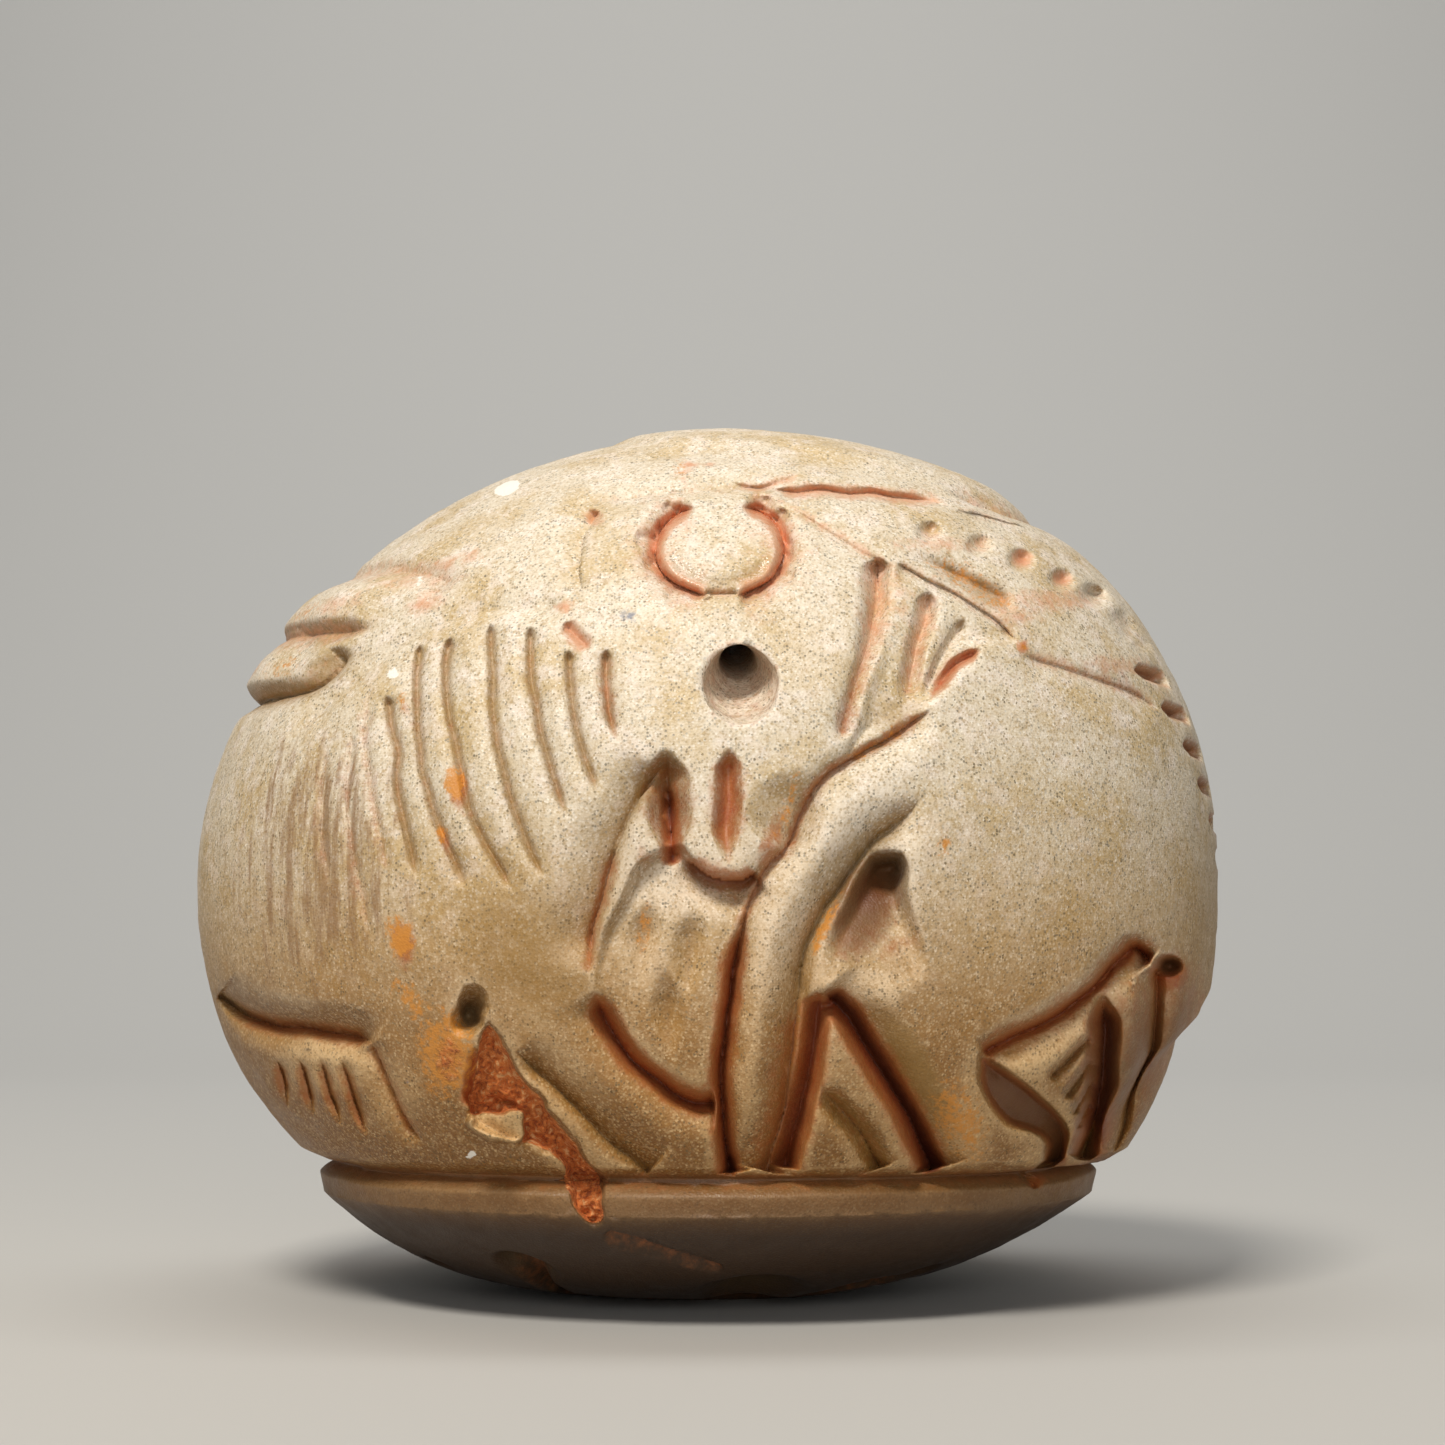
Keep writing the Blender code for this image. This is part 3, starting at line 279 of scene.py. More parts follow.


# The head
# The animal's face looks out over the front with its muzzle down. A flat-topped horn stub stands in a
# polished ring cut on its brow, and two slits part the muzzle, dark red with old dirt and darkened further
# with painted shade.

def carve_head(front):
    edge = [(13.8, 12.4), (13.9, 8), (13, 3.5), (11.8, -0.2), (10.8, -3.6), (10.1, -6.2)]
    front.cut(edge, 0.9, 0.7, left=(0.4, 1.4), right=(1, 2.6), shape=GOUGE, rust=0.42)
    front.cut(edge[:4], 1.5, 0.7, fade=(1.2, 6), shape=GOUGE, rust=0.42)
    brow_corner = [(3.6, 18), (6.1, 16.7), (9, 14.8), (11.2, 13.4), (13.8, 12.2), (15.8, 11.8)]
    front.cut(brow_corner, 0.5, 0.05, left=(0.25, 2.2), right=(0.4, 3), fade=(4, 3), rust=0.4)
    left_edge = [(-14, 17), (-15.5, 14.5), (-16.1, 11.5), (-15.8, 8.5)]
    front.cut(left_edge, 0.9, 0.1, right=(0.7, 4.5), fade=(0.8, 2))
    front.cut([(-13.9, 17.2), (-15.2, 15.4)], 0.8, 0.4, fade=(0.7, 0.9), rust=0.5)
    temple_cut = [(-17.6, 5.9), (-16.4, 4.5), (-14.9, 3)]
    front.cut(temple_cut, 0.9, 0.8, fade=(0.8, 1), rust=0.6)
    ring_u, ring_v = -2, 13.1
    for start, end in ((112, 262), (-78, 72)):
        arc = oval(ring_u, ring_v, 6.4, 4.6, start, end)
        front.cut(arc, 0.7, 0.6, left=(0.6, 0.9), right=(1.6, 2.7), fade=(1.6, 1.6), rust=0.85)
        front.cut(arc, 2.5, 0, fade=(1, 1), rust=0.34, gloss=1)
    for facet in range(7):
        for middle in (128 + 21 * facet, 52 - 21 * facet):
            turn = math.radians(middle + 5 * math.sin(2.3 * facet))
            reach = 8.2 + 0.9 * math.sin(1.9 * facet + 0.02 * middle)
            foot = (ring_u + 6.6 * math.cos(turn), ring_v + 4.8 * math.sin(turn))
            tip = (ring_u + reach * math.cos(turn + 0.08), ring_v + 0.74 * reach * math.sin(turn + 0.08))
            front.cut([foot, tip], 0.9, 0.55, fade=(0.2, 0.8), rust=0.3, gloss=1)
    front.cut(oval(ring_u, ring_v, 6.2, 4.5, 255, 289), 0.7, 0.4, left=(0.8, 1.4), fade=(0.6, 0.6), rust=0.3)
    # The olive wash under the boss is painted shade.
    front.cut(oval(-2, 13.3, 5, 3.5, 190, 350), 0.9, 0.3, fade=(2, 2), shape=GOUGE, olive=0.5)
    left_slit = [(-7.2, -6.6), (-7.3, -9.7), (-7, -13.5), (-6.7, -18.6)]
    front.cut(left_slit, 2, 2.6, left=(0.4, 1.2), right=(1.4, 4), fade=(3.4, 5.5), shape=GOUGE, rust=0.5,
              olive=0.7)
    front.cut(left_slit[1:], 0.8, 1.2, fade=(2.5, 0.5), rust=0.9)
    right_slit = [(-1.1, -6.6), (-1.1, -9.5), (-1.3, -14.5), (-1.3, -18.8)]
    front.cut(right_slit, 1.25, 1.7, fade=(2.6, 4.5), shape=GOUGE, rust=0.75)
    # The olive in the broad cheek cut is painted shade on the side of the muzzle turned from the light.
    cheek = [(6.9, -8.4), (5, -12.4), (3.2, -16.8)]
    front.cut(cheek, 3.4, 1.2, fade=(5, 2), shape=GOUGE, olive=0.5)
    front.cut([(-10, -0.1), (-10.2, -3)], 0.4, 0.15, rust=0.25)
    # The umber and olive daubs beside the left slit are painted shade on its dark slope.
    front.daub("umber", (-7.2, -9, 1.7, 2.6, 0.55))
    front.daub("olive", (-9, -11, 2.8, 4.5, 0.7, 0.4))
    front.daub("ochre", (4.6, -13, 1.2, 5.5, 0.5, 0.35))
    front.daub("wear_and_painted_light", (7.5, 4, 5, 9, 0.6))
    front.daub("rust", (3.2, -16, 1.6, 4.5, 0.5, 0.35))
    front.daub("iron", (-11.2, 6.5, 1.6, 1.2, 0.8), (-10.4, 4, 1.8, 3.6, 0.3))


# The beard
# Below the muzzle the beard begins deep under the chin and swells out to its tip. Its top catches the light
# and is painted paler as well, the chin's underside is darkened with painted shade, and shallow flutes run
# down it.

def carve_beard(front):
    recess = [(-5.8, -16.2), (-4.2, -18), (-2.7, -19.3), (-1, -19.5), (0.8, -19.1), (2.5, -18.5),
              (1.5, -20.8), (0.6, -22.7), (-0.6, -28.1), (-1.6, -34), (-2.1, -38.3), (-2.2, -41.8),
              (-4.2, -42.2), (-6.2, -41.6), (-8.4, -39.8), (-10.6, -38.2), (-12.4, -36), (-13.7, -33.6),
              (-14.9, -30.6), (-14.8, -27.5), (-13.8, -24.7), (-12.3, -21.8), (-10.7, -18.5), (-8.8, -17)]
    front.sink(recess, 2.2, 0.5, 1.4, bend=2)
    bank = [(-7.6, -8.5), (-10, -12), (-12.2, -16.5), (-13.4, -20.5), (-14.6, -25), (-15.1, -29.5)]
    # The broad olive wash along the bank is painted shade on the slope down to the beard.
    front.cut(bank, 0.6, 0.1, right=(2.6, 6.5), left=(0.8, 1.6), fade=(3.5, 4), olive=0.45, spread=5.5)
    front.cut(bank[2:], 0.6, 0.5, fade=(2, 0.8), rust=0.45)
    # The olive in the flutes is painted shade.
    for top, foot in (((-8.9, -21.5), (-10.4, -31)), ((-4.4, -22), (-5.6, -33)),
                      ((-7.6, -28.5), (-6.8, -39))):
        front.cut([top, foot], 1.6, 0.9, fade=(4, 6), shape=GOUGE, olive=0.45)
    chin_shade = [(-6.2, -17.4), (-4.2, -18.8), (-2.5, -19.8), (0, -19.9), (1.8, -19)]
    # The umber under the chin is painted shade below the overhang, with the rust stain.
    front.cut(chin_shade, 0.9, 0.6, right=(2.8, 4.5), fade=(2.6, 0.8), rust=0.7, umber=0.4)
    front.cut([(-2.6, -20.6), (-0.4, -22), (1.2, -23)], 0.6, 0.4, rust=0.3)
    front.daub("ochre", (-9.6, -25, 1, 4, 0.5, 0.12))
    # The pale patches are painted light on the beard's top.
    front.daub("wear_and_painted_light", (-6.4, -20.8, 6, 4, 1), (-9.5, -28, 3.5, 6, 0.5))
    front.daub("rust", (-9.6, -17.6, 1.6, 1.6, 0.3))


# The right limb and the hollow beside it
# A long leg comes down from the haunch past the muzzle, rounded like a cord. Beside it a bowl is scooped
# deep, and below that three knife cuts part the folded shank from the leg.

def carve_right_limb(front):
    inner_edge = [(19.6, -2.4), (17, -4.3), (14.7, -5.8), (10.5, -8.2), (8.4, -9.6), (6.7, -12),
                  (4.6, -16.6), (2.7, -18.5), (1.5, -20.8), (0.6, -22.7), (-0.6, -28.1), (-1.4, -34),
                  (-1.9, -38.3), (-1.9, -42.3), (-1.7, -45), (-1, -49.5)]
    front.cut(inner_edge, 0.6, 0.5, left=(1.8, 4), right=(0.9, 2.5), fade=(3.5, 0.3), rust=0.5)
    # The olive along this part is painted shade below the locks, with ochre stain.
    front.cut(inner_edge[1:4], 0.8, 0.3, olive=0.5, ochre=0.4)
    front.cut(inner_edge[9:], 1, 1.2, left=(0.8, 2.5), right=(0.6, 1.5), fade=(6, 0.3), rust=0.9)
    outer_edge = [(19, -11.2), (17.8, -12.2), (16.5, -13.8), (14.2, -15.6), (12, -18), (10.3, -20.5),
                  (8.8, -22.4), (7.5, -25), (6.3, -27.9), (5.8, -32.3), (5.4, -35.7), (4.9, -39.5),
                  (4.5, -43.2), (3.3, -47), (2.8, -49.2)]
    # The olive and umber along the outer edge are painted shade on the side of the limb turned from the
    # light.
    front.cut(outer_edge, 0.8, 0.5, left=(2.2, 4), right=(2.8, 4.4), fade=(7, 0.3), olive=0.6, spread=1.8)
    front.cut(outer_edge[9:], 1.8, 0, fade=(2.5, 0.3), rust=0.5, umber=0.3)
    front.cut([(-1, -47.2), (-0.9, -49.8)], 0.6, 1, fade=(0.8, 0.1), rust=0.7)
    front.daub("ochre", (8.4, -24.8, 1, 4, 0.7, 0.4))
    # The pale patches are painted light on the limb's rounded top.
    front.daub("wear_and_painted_light", (12, -13, 3.4, 6.5, 1, 0.9), (4, -25, 3.4, 10, 0.8, 0.25))


def carve_hollow(front):
    bowl = [(12.7, -17.3), (14.2, -16.9), (16.2, -16.9), (16.9, -18.2), (17.2, -21.5), (18.4, -25),
            (19.2, -28.5), (18, -31), (14, -32), (9.8, -31.4), (7.6, -30), (8.2, -26), (9.8, -22.6),
            (11.2, -19.6)]
    front.sink(bowl, 6.2, 0, 2.1, bend=1.5)
    front.pit(14.8, -19.2, 2.6, 2.6, 1.6)
    left_notch = [(8, -30.9), (7.5, -34.6), (6.9, -38.4), (6.1, -41.8), (5.2, -45.7), (4.3, -48.8)]
    front.cut(left_notch, 1.4, 2.5, left=(0.8, 2.2), right=(0.5, 1.5), fade=(1.6, 0.3), shape=GOUGE, rust=0.9)
    # The umber in the right notch and the olive in the inner one are painted shade.
    right_notch = [(8.3, -31), (10.8, -33.8), (12.7, -36.9), (14.6, -39.9), (16.5, -43.2), (18.1, -46.4),
                   (19.2, -49.3)]
    front.cut(right_notch, 1.3, 2.9, left=(3.4, 5.4), right=(0.6, 2), fade=(1.6, 0.3), shape=GOUGE, rust=1,
              umber=0.3)
    inner_notch = [(7.9, -40.3), (9.6, -42.4), (11.6, -44.5), (12.9, -46.4), (14.2, -49)]
    front.cut(inner_notch, 1.2, 1.1, left=(0.8, 2.2), right=(1.6, 3), fade=(2.5, 0.3), olive=0.7, rust=0.3)
    front.daub("rust", (12.6, -22.6, 4, 6.5, 0.75, 0.3), (15.8, -26.5, 3, 2, 0.3, 0.8))
    # The umber daubs are painted shade deep in the bowl, the pale patch is painted light on its floor, and
    # the olive is painted shade on the slope right of the notches.
    front.daub("umber", (14.8, -18.6, 3, 2.8, 0.75), (12.8, -22, 4.8, 8, 0.95, 0.3))
    front.daub("wear_and_painted_light", (13, -30.6, 5, 2.4, 1))
    front.daub("olive", (17.5, -39, 3.2, 8.5, 0.9, -0.5))


# The haunch and the tail
# The haunch is one large smooth swell, edged above by the mane. Under it the tail is laid forward as a
# ribbed fan, with two rounded lobes behind it at the right end.

def carve_haunch(front):
    top_edge = [(27.8, 3.1), (30.5, 2), (33.4, 1), (36.4, -0.1), (39.6, -1.4), (42.5, -3.5)]
    front.cut(top_edge, 0.7, 0.1, right=(0.6, 4.5), left=(0.35, 2.2), fade=(2.5, 4), rust=0.4)
    tail_edge = [(24, -37.4), (26.6, -36.1), (30.4, -34.3), (33.4, -32.4), (35.9, -30.3), (37.9, -28.2),
                 (39.5, -26.8), (41.2, -28.4)]
    front.cut(tail_edge, 0.7, 0.9, left=(1.8, 2), right=(2.3, 4.2), fade=(0.8, 0.8), rust=0.85)
    front.cut(tail_edge, 1.2, 0, fade=(0.8, 0.8), rust=0.5)
    recess = [(23.9, -37.2), (23.7, -39.6), (24.4, -42.2), (26.4, -44.6), (29, -45.6), (30.2, -46.6),
              (30, -49.4), (32.6, -49.4), (33.2, -45.8), (32.4, -43.6), (30.2, -41.4), (28, -39.6),
              (25.8, -38.2)]
    front.sink(recess, 3, 2.4, 1.1)
    # The umber that deepens towards the recess's middle is painted shade; the rust is stain.
    near, gap, _ = front.within(recess)
    front.tint(near, "rust", 0.7 * ease(0, 0.9, gap))
    front.tint(near, "umber", ease(0, 1.6, gap))
    # The olive on the ribs and the lobe's edge and the umber in the split are painted shade.
    for outer, inner in (((30.8, -40), (35.2, -35.6)), ((32.5, -41.9), (35.3, -37.9)),
                         ((33.3, -43.6), (35.3, -40.2)), ((33.7, -45.2), (35.1, -42.4))):
        front.cut([outer, inner], 0.6, 0.5, left=(0.2, 0.8), right=(1.3, 1.9), fade=(0.8, 0.6), rust=0.2,
                  olive=0.3)
    split = [(36.3, -31), (36.5, -34.6), (36.3, -38.8), (35.8, -43), (34.9, -48.2)]
    front.cut(split, 1.5, 2.9, left=(1.8, 3.4), right=(0.5, 0.9), fade=(3.5, 0.4), shape=GOUGE, rust=0.95,
              umber=0.6)
    lobe_edge = [(41.6, -28.6), (41.9, -31.5), (41.6, -35.5), (40.7, -40.1), (39.7, -44.3), (38, -47.6)]
    front.cut(lobe_edge, 0.6, 0.7, left=(1.6, 2.4), right=(1.8, 2.8), fade=(0.8, 1), rust=0.6, olive=0.5)
    front.pit(42.9, -28.6, 1.8, 1.3, 2.4)
    # The pale patches are painted light on the fan's top and the foot, and the umber daubs are painted shade
    # in the pit and on the lobes.
    front.daub("wear_and_painted_light", (31.2, -36.6, 3.2, 4.5, 1, 0.9), (22.5, -45.5, 4, 4.5, 0.7))
    front.daub("umber", (42.9, -28.6, 2, 1.5, 0.8), (43, -38, 4.5, 11, 0.75, 0.25))
    front.daub("rust", (42.9, -29.4, 2.6, 2.4, 0.85))
    front.daub("ochre", (20.2, -16.8, 0.9, 1.8, 0.85, 0.3), (22, -44, 3.6, 5.5, 0.62, -0.3))


# The mane
# A fluted band runs back from the brow over the shoulder, dotted with small drilled dimples. Short locks
# hang from it beside the head, parted by broad cuts.

def carve_mane(front):
    brow_line = [(-18, 17.5), (-14, 18), (-9, 18.6), (-4, 19), (1, 19.2), (6, 18.8)]
    front.cut(brow_line, 0.6, 0.1, left=(0.7, 3), right=(0.4, 2.5), fade=(5, 3), rust=0.2)
    roll_back = [(-14, 21.2), (-9, 22.2), (-4, 22.8), (1, 23), (6, 22.5), (12, 21)]
    front.cut(roll_back, 0.8, 0.1, left=(0.3, 2), right=(0.2, 2), fade=(6, 6))
    long_cut = [(3, 19.1), (6, 18.9), (9, 19), (12, 18.8), (16, 18.4), (19, 18), (21.5, 17.3)]
    front.cut(long_cut, 0.6, 0.5, left=(0.6, 1.7), right=(0.3, 2), fade=(2.5, 4.5), rust=0.6)
    front.cut([(-1, 19.9), (1.5, 19.1), (4, 19.9), (6.4, 20.5)], 0.4, 0.25, rust=0.45)
    shoulder_step = [(20.5, 17.5), (24.5, 16.6), (27.5, 15.8), (30, 14.6)]
    front.cut(shoulder_step, 0.7, 0, left=(0.1, 2), right=(0.4, 4), fade=(4, 4.5), rust=0.3)
    lock_field = [(13.4, 12.4), (16, 11.4), (19, 9.8), (23, 7.4), (26.6, 4.4), (24.5, 2.6), (21, -1),
                  (18.5, -3.8), (14.5, -6.2), (10.4, -7.8), (11.2, -2), (12.8, 4)]
    front.sink(lock_field, 0.2, 1.7, 2.6)
    lower_line = [(15.8, 11.8), (18, 10.5), (21, 9), (25.4, 6.4), (27.9, 3.8)]
    front.cut(lower_line, 0.6, 0.15, right=(0.8, 2.5), left=(0.3, 1), fade=(1, 1.5), rust=0.3)
    upper_line = [(16.5, 12.6), (18.8, 12), (21, 11), (23, 9.8), (25.5, 8.3), (27.5, 6.7)]
    # Its olive wash is painted shade below the band's edge, with ochre stain.
    front.cut(upper_line, 1.2, 0.6, left=(0.8, 3), fade=(6, 2), ochre=0.5, olive=0.6)
    for u, v, rust in ((19, 15, 0.3), (24, 13.6, 0.35), (28.2, 12.1, 0.65), (32.2, 10.1, 0.6),
                       (35.8, 8.3, 0.4), (38.6, 6.2, 0.4), (40.6, 3.8, 0.4), (35.3, 8.8, 0.3),
                       (39.3, 5, 0.3)):
        front.pit(u, v, 1.7, 1.4, 0.9)
        front.daub("rust", (u, v, 1.5, 1.2, rust))
    for path, width, depth, rust in (([(18.9, 9.2), (18.3, 5.5), (17.4, 2), (16.4, -2.6)], 1.1, 0.9, 0.42),
                                     ([(22.6, 6.4), (21, 3.6), (19.4, 0.4), (18.2, -2.4)], 0.6, 0.4, 0.2),
                                     ([(24.3, 3.2), (22, 1.8), (20.6, 0.4), (18.8, -2.2)], 0.6, 0.9, 0.85)):
        front.cut(path, width, depth, left=(0.5, 1.8), right=(0.5, 1.8), fade=(1.6, 2.5), shape=GOUGE,
                  rust=rust)
    front.daub("rust", (27, 6.5, 4.5, 1.8, 0.35, -0.5), (28.3, 3.4, 0.9, 0.8, 0.9),
               (20, 13.5, 7, 1.3, 0.34, -0.4), (31, 8, 7, 1.6, 0.4, -0.4),
               (37.5, 1.5, 5, 1.6, 0.36, -0.4), (16, 8, 4, 5, 0.22, -0.4))
    # The olive daub is painted shade in the low field between the locks.
    front.daub("olive", (15.5, -3.5, 4.5, 2.4, 0.5, 0.6))
    front.daub("ochre", (28.3, 3.4, 0.8, 0.7, 0.6))


# The fleece
# Fine, slightly curved knife lines fan down the shoulder from a stepped edge, closer and fainter towards
# the left, where the stone is streaked brown.

def carve_fleece(front):
    strands = (
        ([(-35.4, -1.4), (-34.9, -4.5), (-34.2, -7.5), (-34.3, -10.8), (-33.6, -14), (-32.3, -20.1)], 0.22),
        ([(-31.9, 3.8), (-32.4, 0), (-32.3, -4.9), (-31.3, -11), (-29.5, -16.2), (-27.3, -21.2)], 0.2),
        ([(-29, 4.6), (-29.4, 1.2), (-29.3, -2.1), (-28.4, -7.5), (-26.7, -14), (-22.6, -21.4)], 0.2),
        ([(-24.9, 5.7), (-24.8, 1.6), (-24.8, -2.1), (-23.9, -8.1), (-22.1, -14.5), (-19.5, -20.1)], 0.16),
        ([(-20.9, 5.5), (-21, 1.6), (-20.6, -1.9), (-19.3, -8), (-17.4, -14)], 0.2),
        ([(-17.3, 3.3), (-16.9, -1), (-16.5, -4), (-15.8, -7.1), (-14.1, -11.6)], 0.2),
        ([(-13.5, 3.3), (-13.3, -1), (-12.8, -4.3), (-12.2, -6.4)], 0.4))
    # The olive along the strands is painted shade in their flutes.
    for path, rust in strands:
        front.cut(path, 0.45, 0.4, left=(0.6, 2.4), right=(0.5, 2.2), fade=(1.2, 2.5), shape=GOUGE,
                  rust=rust, olive=0.75, spread=1.9)
    front.cut(strands[-1][0], 0.9, 0.2, fade=(1.5, 3), rust=0.34, shape=GOUGE)
    for path, rust in (([(-37.2, -0.6), (-37.6, -6.4), (-36.7, -13.3), (-35, -20.5)], 0.3),
                       ([(-38.8, -4), (-39.4, -11), (-38.6, -18.5), (-36.6, -27)], 0.25),
                       ([(-41.5, -6), (-42, -14), (-41, -22)], 0.2)):
        front.cut(path, 0.7, 0.25, left=(0.2, 1.4), fade=(3, 5), rust=rust, olive=0.2)
    top_step = [(-45.7, -7.2), (-43.5, -4.8), (-40.5, -2), (-37.5, 0.8), (-34.3, 3.3), (-31.7, 4.8),
                (-28.8, 6.1), (-26.2, 6.8), (-22.9, 7), (-20, 6.9), (-17.4, 7.9)]
    front.cut(top_step, 0.9, 0.05, left=(0.8, 5), right=(0.5, 2.4), fade=(6, 2))
    for u, v, size, amount in ((-28.6, -10.4, 1.5, 0.9), (-29.9, -15.5, 0.9, 0.7), (-34, -2, 0.9, 0.5),
                               (-33.8, -26, 1.6, 0.95), (-34.6, -24.6, 1.2, 0.7), (-6, 21.2, 1, 0.5)):
        front.daub("ochre", (u, v, size, 1.5 * size, amount))
        front.daub("rust", (u + 0.4, v - 0.8, 0.8 * size, 1.6 * size, 0.7 * amount))
    # The first spot, large and white on the crown, is a painted highlight; the others are chalky chips.
    for u, v, size, amount in ((-23.5, 19.5, 1.6, 2.4), (-34.6, 0.8, 0.9, 0.95), (-32, 9.9, 1.3, 0.5),
                               (-26.7, -47.6, 0.7, 0.95)):
        front.daub("chalk_and_highlight", (u, v, size, 0.75 * size, amount, 0.3))
    front.daub("iron", (-33.5, -28, 0.8, 0.7, 0.7), (-33.2, -40.5, 0.8, 0.7, 0.7))
    for u, v, size in ((-27, 12.5, 1.6), (-29.8, 11.4, 1.6), (-31.5, 7.8, 2.6)):
        front.daub("rust", (u, v, size, 0.7 * size, 0.42, 0.6))
    front.daub("rust", (-17.6, 7.4, 1.3, 0.8, 0.6), (-5, 21.5, 1.2, 0.5, 0.6), (-3, 21.7, 0.9, 0.5, 0.5))
    front.daub("streak", (-42, -18, 16, 24, 1), (-34, -22, 9, 16, 0.8))
    # The broad olive daub is painted shade over the belly below the shoulder, partly dirt.
    front.daub("olive", (-21, -27, 10, 12, 0.62, -0.2))
    front.daub("wear_and_painted_light", (-31, 9.5, 5, 3, 0.7))


# The left limb
# The near leg is folded along the ground line below the beard, and the paw of the far one rests at the
# left end under a broad groove.

def carve_left_limb(front):
    inner_edge = [(-14.7, -31), (-13.5, -33.9), (-12.2, -36.1), (-10.4, -38.3), (-8.2, -40.1), (-6, -41.7),
                  (-4.2, -42.3), (-2.4, -42.3)]
    front.cut(inner_edge, 1.1, 1.6, right=(2.2, 4.2), left=(1.2, 2.4), fade=(2.5, 0.5), shape=GOUGE, rust=0.9)
    lower_edge = [(-22.7, -37.1), (-18.7, -40.8), (-15.4, -44.1), (-13.5, -45.9), (-11.3, -47.7), (-9, -49.6)]
    # The olive along the lower edge and between the toes and the umber along the paw's top groove are painted
    # shade.
    front.cut(lower_edge, 0.8, 0.2, right=(0.9, 2.2), left=(2, 4.4), fade=(3, 0.5), olive=0.4)
    paw_top = [(-52.5, -31.6), (-50.2, -33.2), (-47.4, -34.4), (-42.2, -35.2), (-38.1, -35.9), (-36.4, -36.6)]
    front.cut(paw_top, 0.8, 0.9, left=(2.4, 3.6), right=(1.6, 3.4), fade=(0.5, 2), rust=0.6, umber=0.2)
    paw_side = [(-36.8, -36.2), (-35, -40.6), (-33.3, -44), (-31.5, -46.6)]
    front.cut(paw_side, 0.6, 0.3, right=(1.2, 3), left=(0.4, 2), fade=(1, 2.5), rust=0.4)
    for toe in range(4):
        start = -46.4 + 2.1 * toe
        front.cut([(start, -37.8), (start + 1.2 + 0.5 * toe, -43.2 - 0.9 * toe)], 0.7, 0.5, left=(0.6, 1.6),
                  fade=(1.5, 3), shape=GOUGE, rust=0.5, olive=0.3)
    # The pale patches are painted light on the paw's ledge and the folded leg.
    front.daub("wear_and_painted_light", (-41, -38.6, 7, 3.4, 1), (-34.5, -41.5, 4, 5, 0.6), (-18.5, -36.5, 3, 8, 0.6, -0.8))


# Old damage
# A piece has broken out over the ground line and through the rim. Its rough floor is crusted with orange
# rust, and a deep pit and a pale chip sit beside it.

def break_front(front):
    hollow = [(-26.2, -35.4), (-24.8, -34.2), (-21.4, -39.6), (-17.9, -44.1), (-15.4, -47.6), (-13.8, -50),
              (-13.4, -54.2), (-15.6, -54.4), (-17.9, -50.5), (-18, -48.3), (-21.4, -46.8), (-24, -46.6),
              (-27.2, -44.4), (-27, -40)]
    front.sink(hollow, 1.8, 1.6, 1)
    chip = [(-27.3, -44.8), (-27.2, -43.4), (-26.4, -43.1), (-22.4, -42.9), (-21.5, -43.3), (-21.3, -45.8),
            (-22.4, -46.6), (-24.6, -46.5)]
    front.sink(chip, -1.9, -1.6, 0.5)
    chip_points, chip_gap, _ = front.within(chip)
    broken = np.ones_like(front.u)
    broken[chip_points] -= ease(0, 0.4, chip_gap)
    front.tint(chip_points, "wear_and_painted_light", 0.9 * ease(0.1, 0.6, chip_gap))
    near, gap, _ = front.within(hollow)
    front.tint(near, "crust", broken[near] * ease(0, 0.8, gap))
    rough = grit(np.column_stack((front.u, front.v, front.u))[near], 0.9, 5)
    fine = grit(np.column_stack((front.u, front.v, front.v))[near], 0.4, 6)
    front.relief[near] -= broken[near] * (0.7 * rough + 0.4 * fine) * ease(0.2, 1.2, gap)
    front.pit(-26.7, -32.6, 1.7, 2.5, 3.2)
    front.pit(-27.4, -34, 1.9, 1.9, 2.2)
    # The umber in this cut and over the deep pit is painted shade.
    front.cut([(-25.6, -42.4), (-22.2, -42.2)], 0.7, 1.2, fade=(0.4, 0.4), rust=1, umber=0.6)
    front.cut([(-26.6, -36.5), (-26.9, -43.3)], 0.8, 1.2, rust=0.95)
    front.cut([(29.7, -49.4), (29.4, -51)], 0.6, 0.9, fade=(0.3, 0.4), rust=0.8)
    front.daub("umber", (-26.9, -33.2, 1.9, 3, 0.8))
    front.daub("crust", (-29.2, -38, 2.6, 5.4, 0.5))
    # The pale band is painted light on the rim's lip.
    front.daub("wear_and_painted_light", (-31.5, -50.6, 8, 1.8, 0.55))
    front.daub("ochre", (-29.4, -37.4, 3.8, 5.8, 0.8), (-33, -32, 2, 3.4, 0.6, -0.5))


# The two ends
# Two thick rolls wrap the left end of the bead. Notches step down the spine at the right end, and the
# edge of the mane is scalloped above them.

# Round the ends, each degree counts as this many steps
DEGREE = 0.3


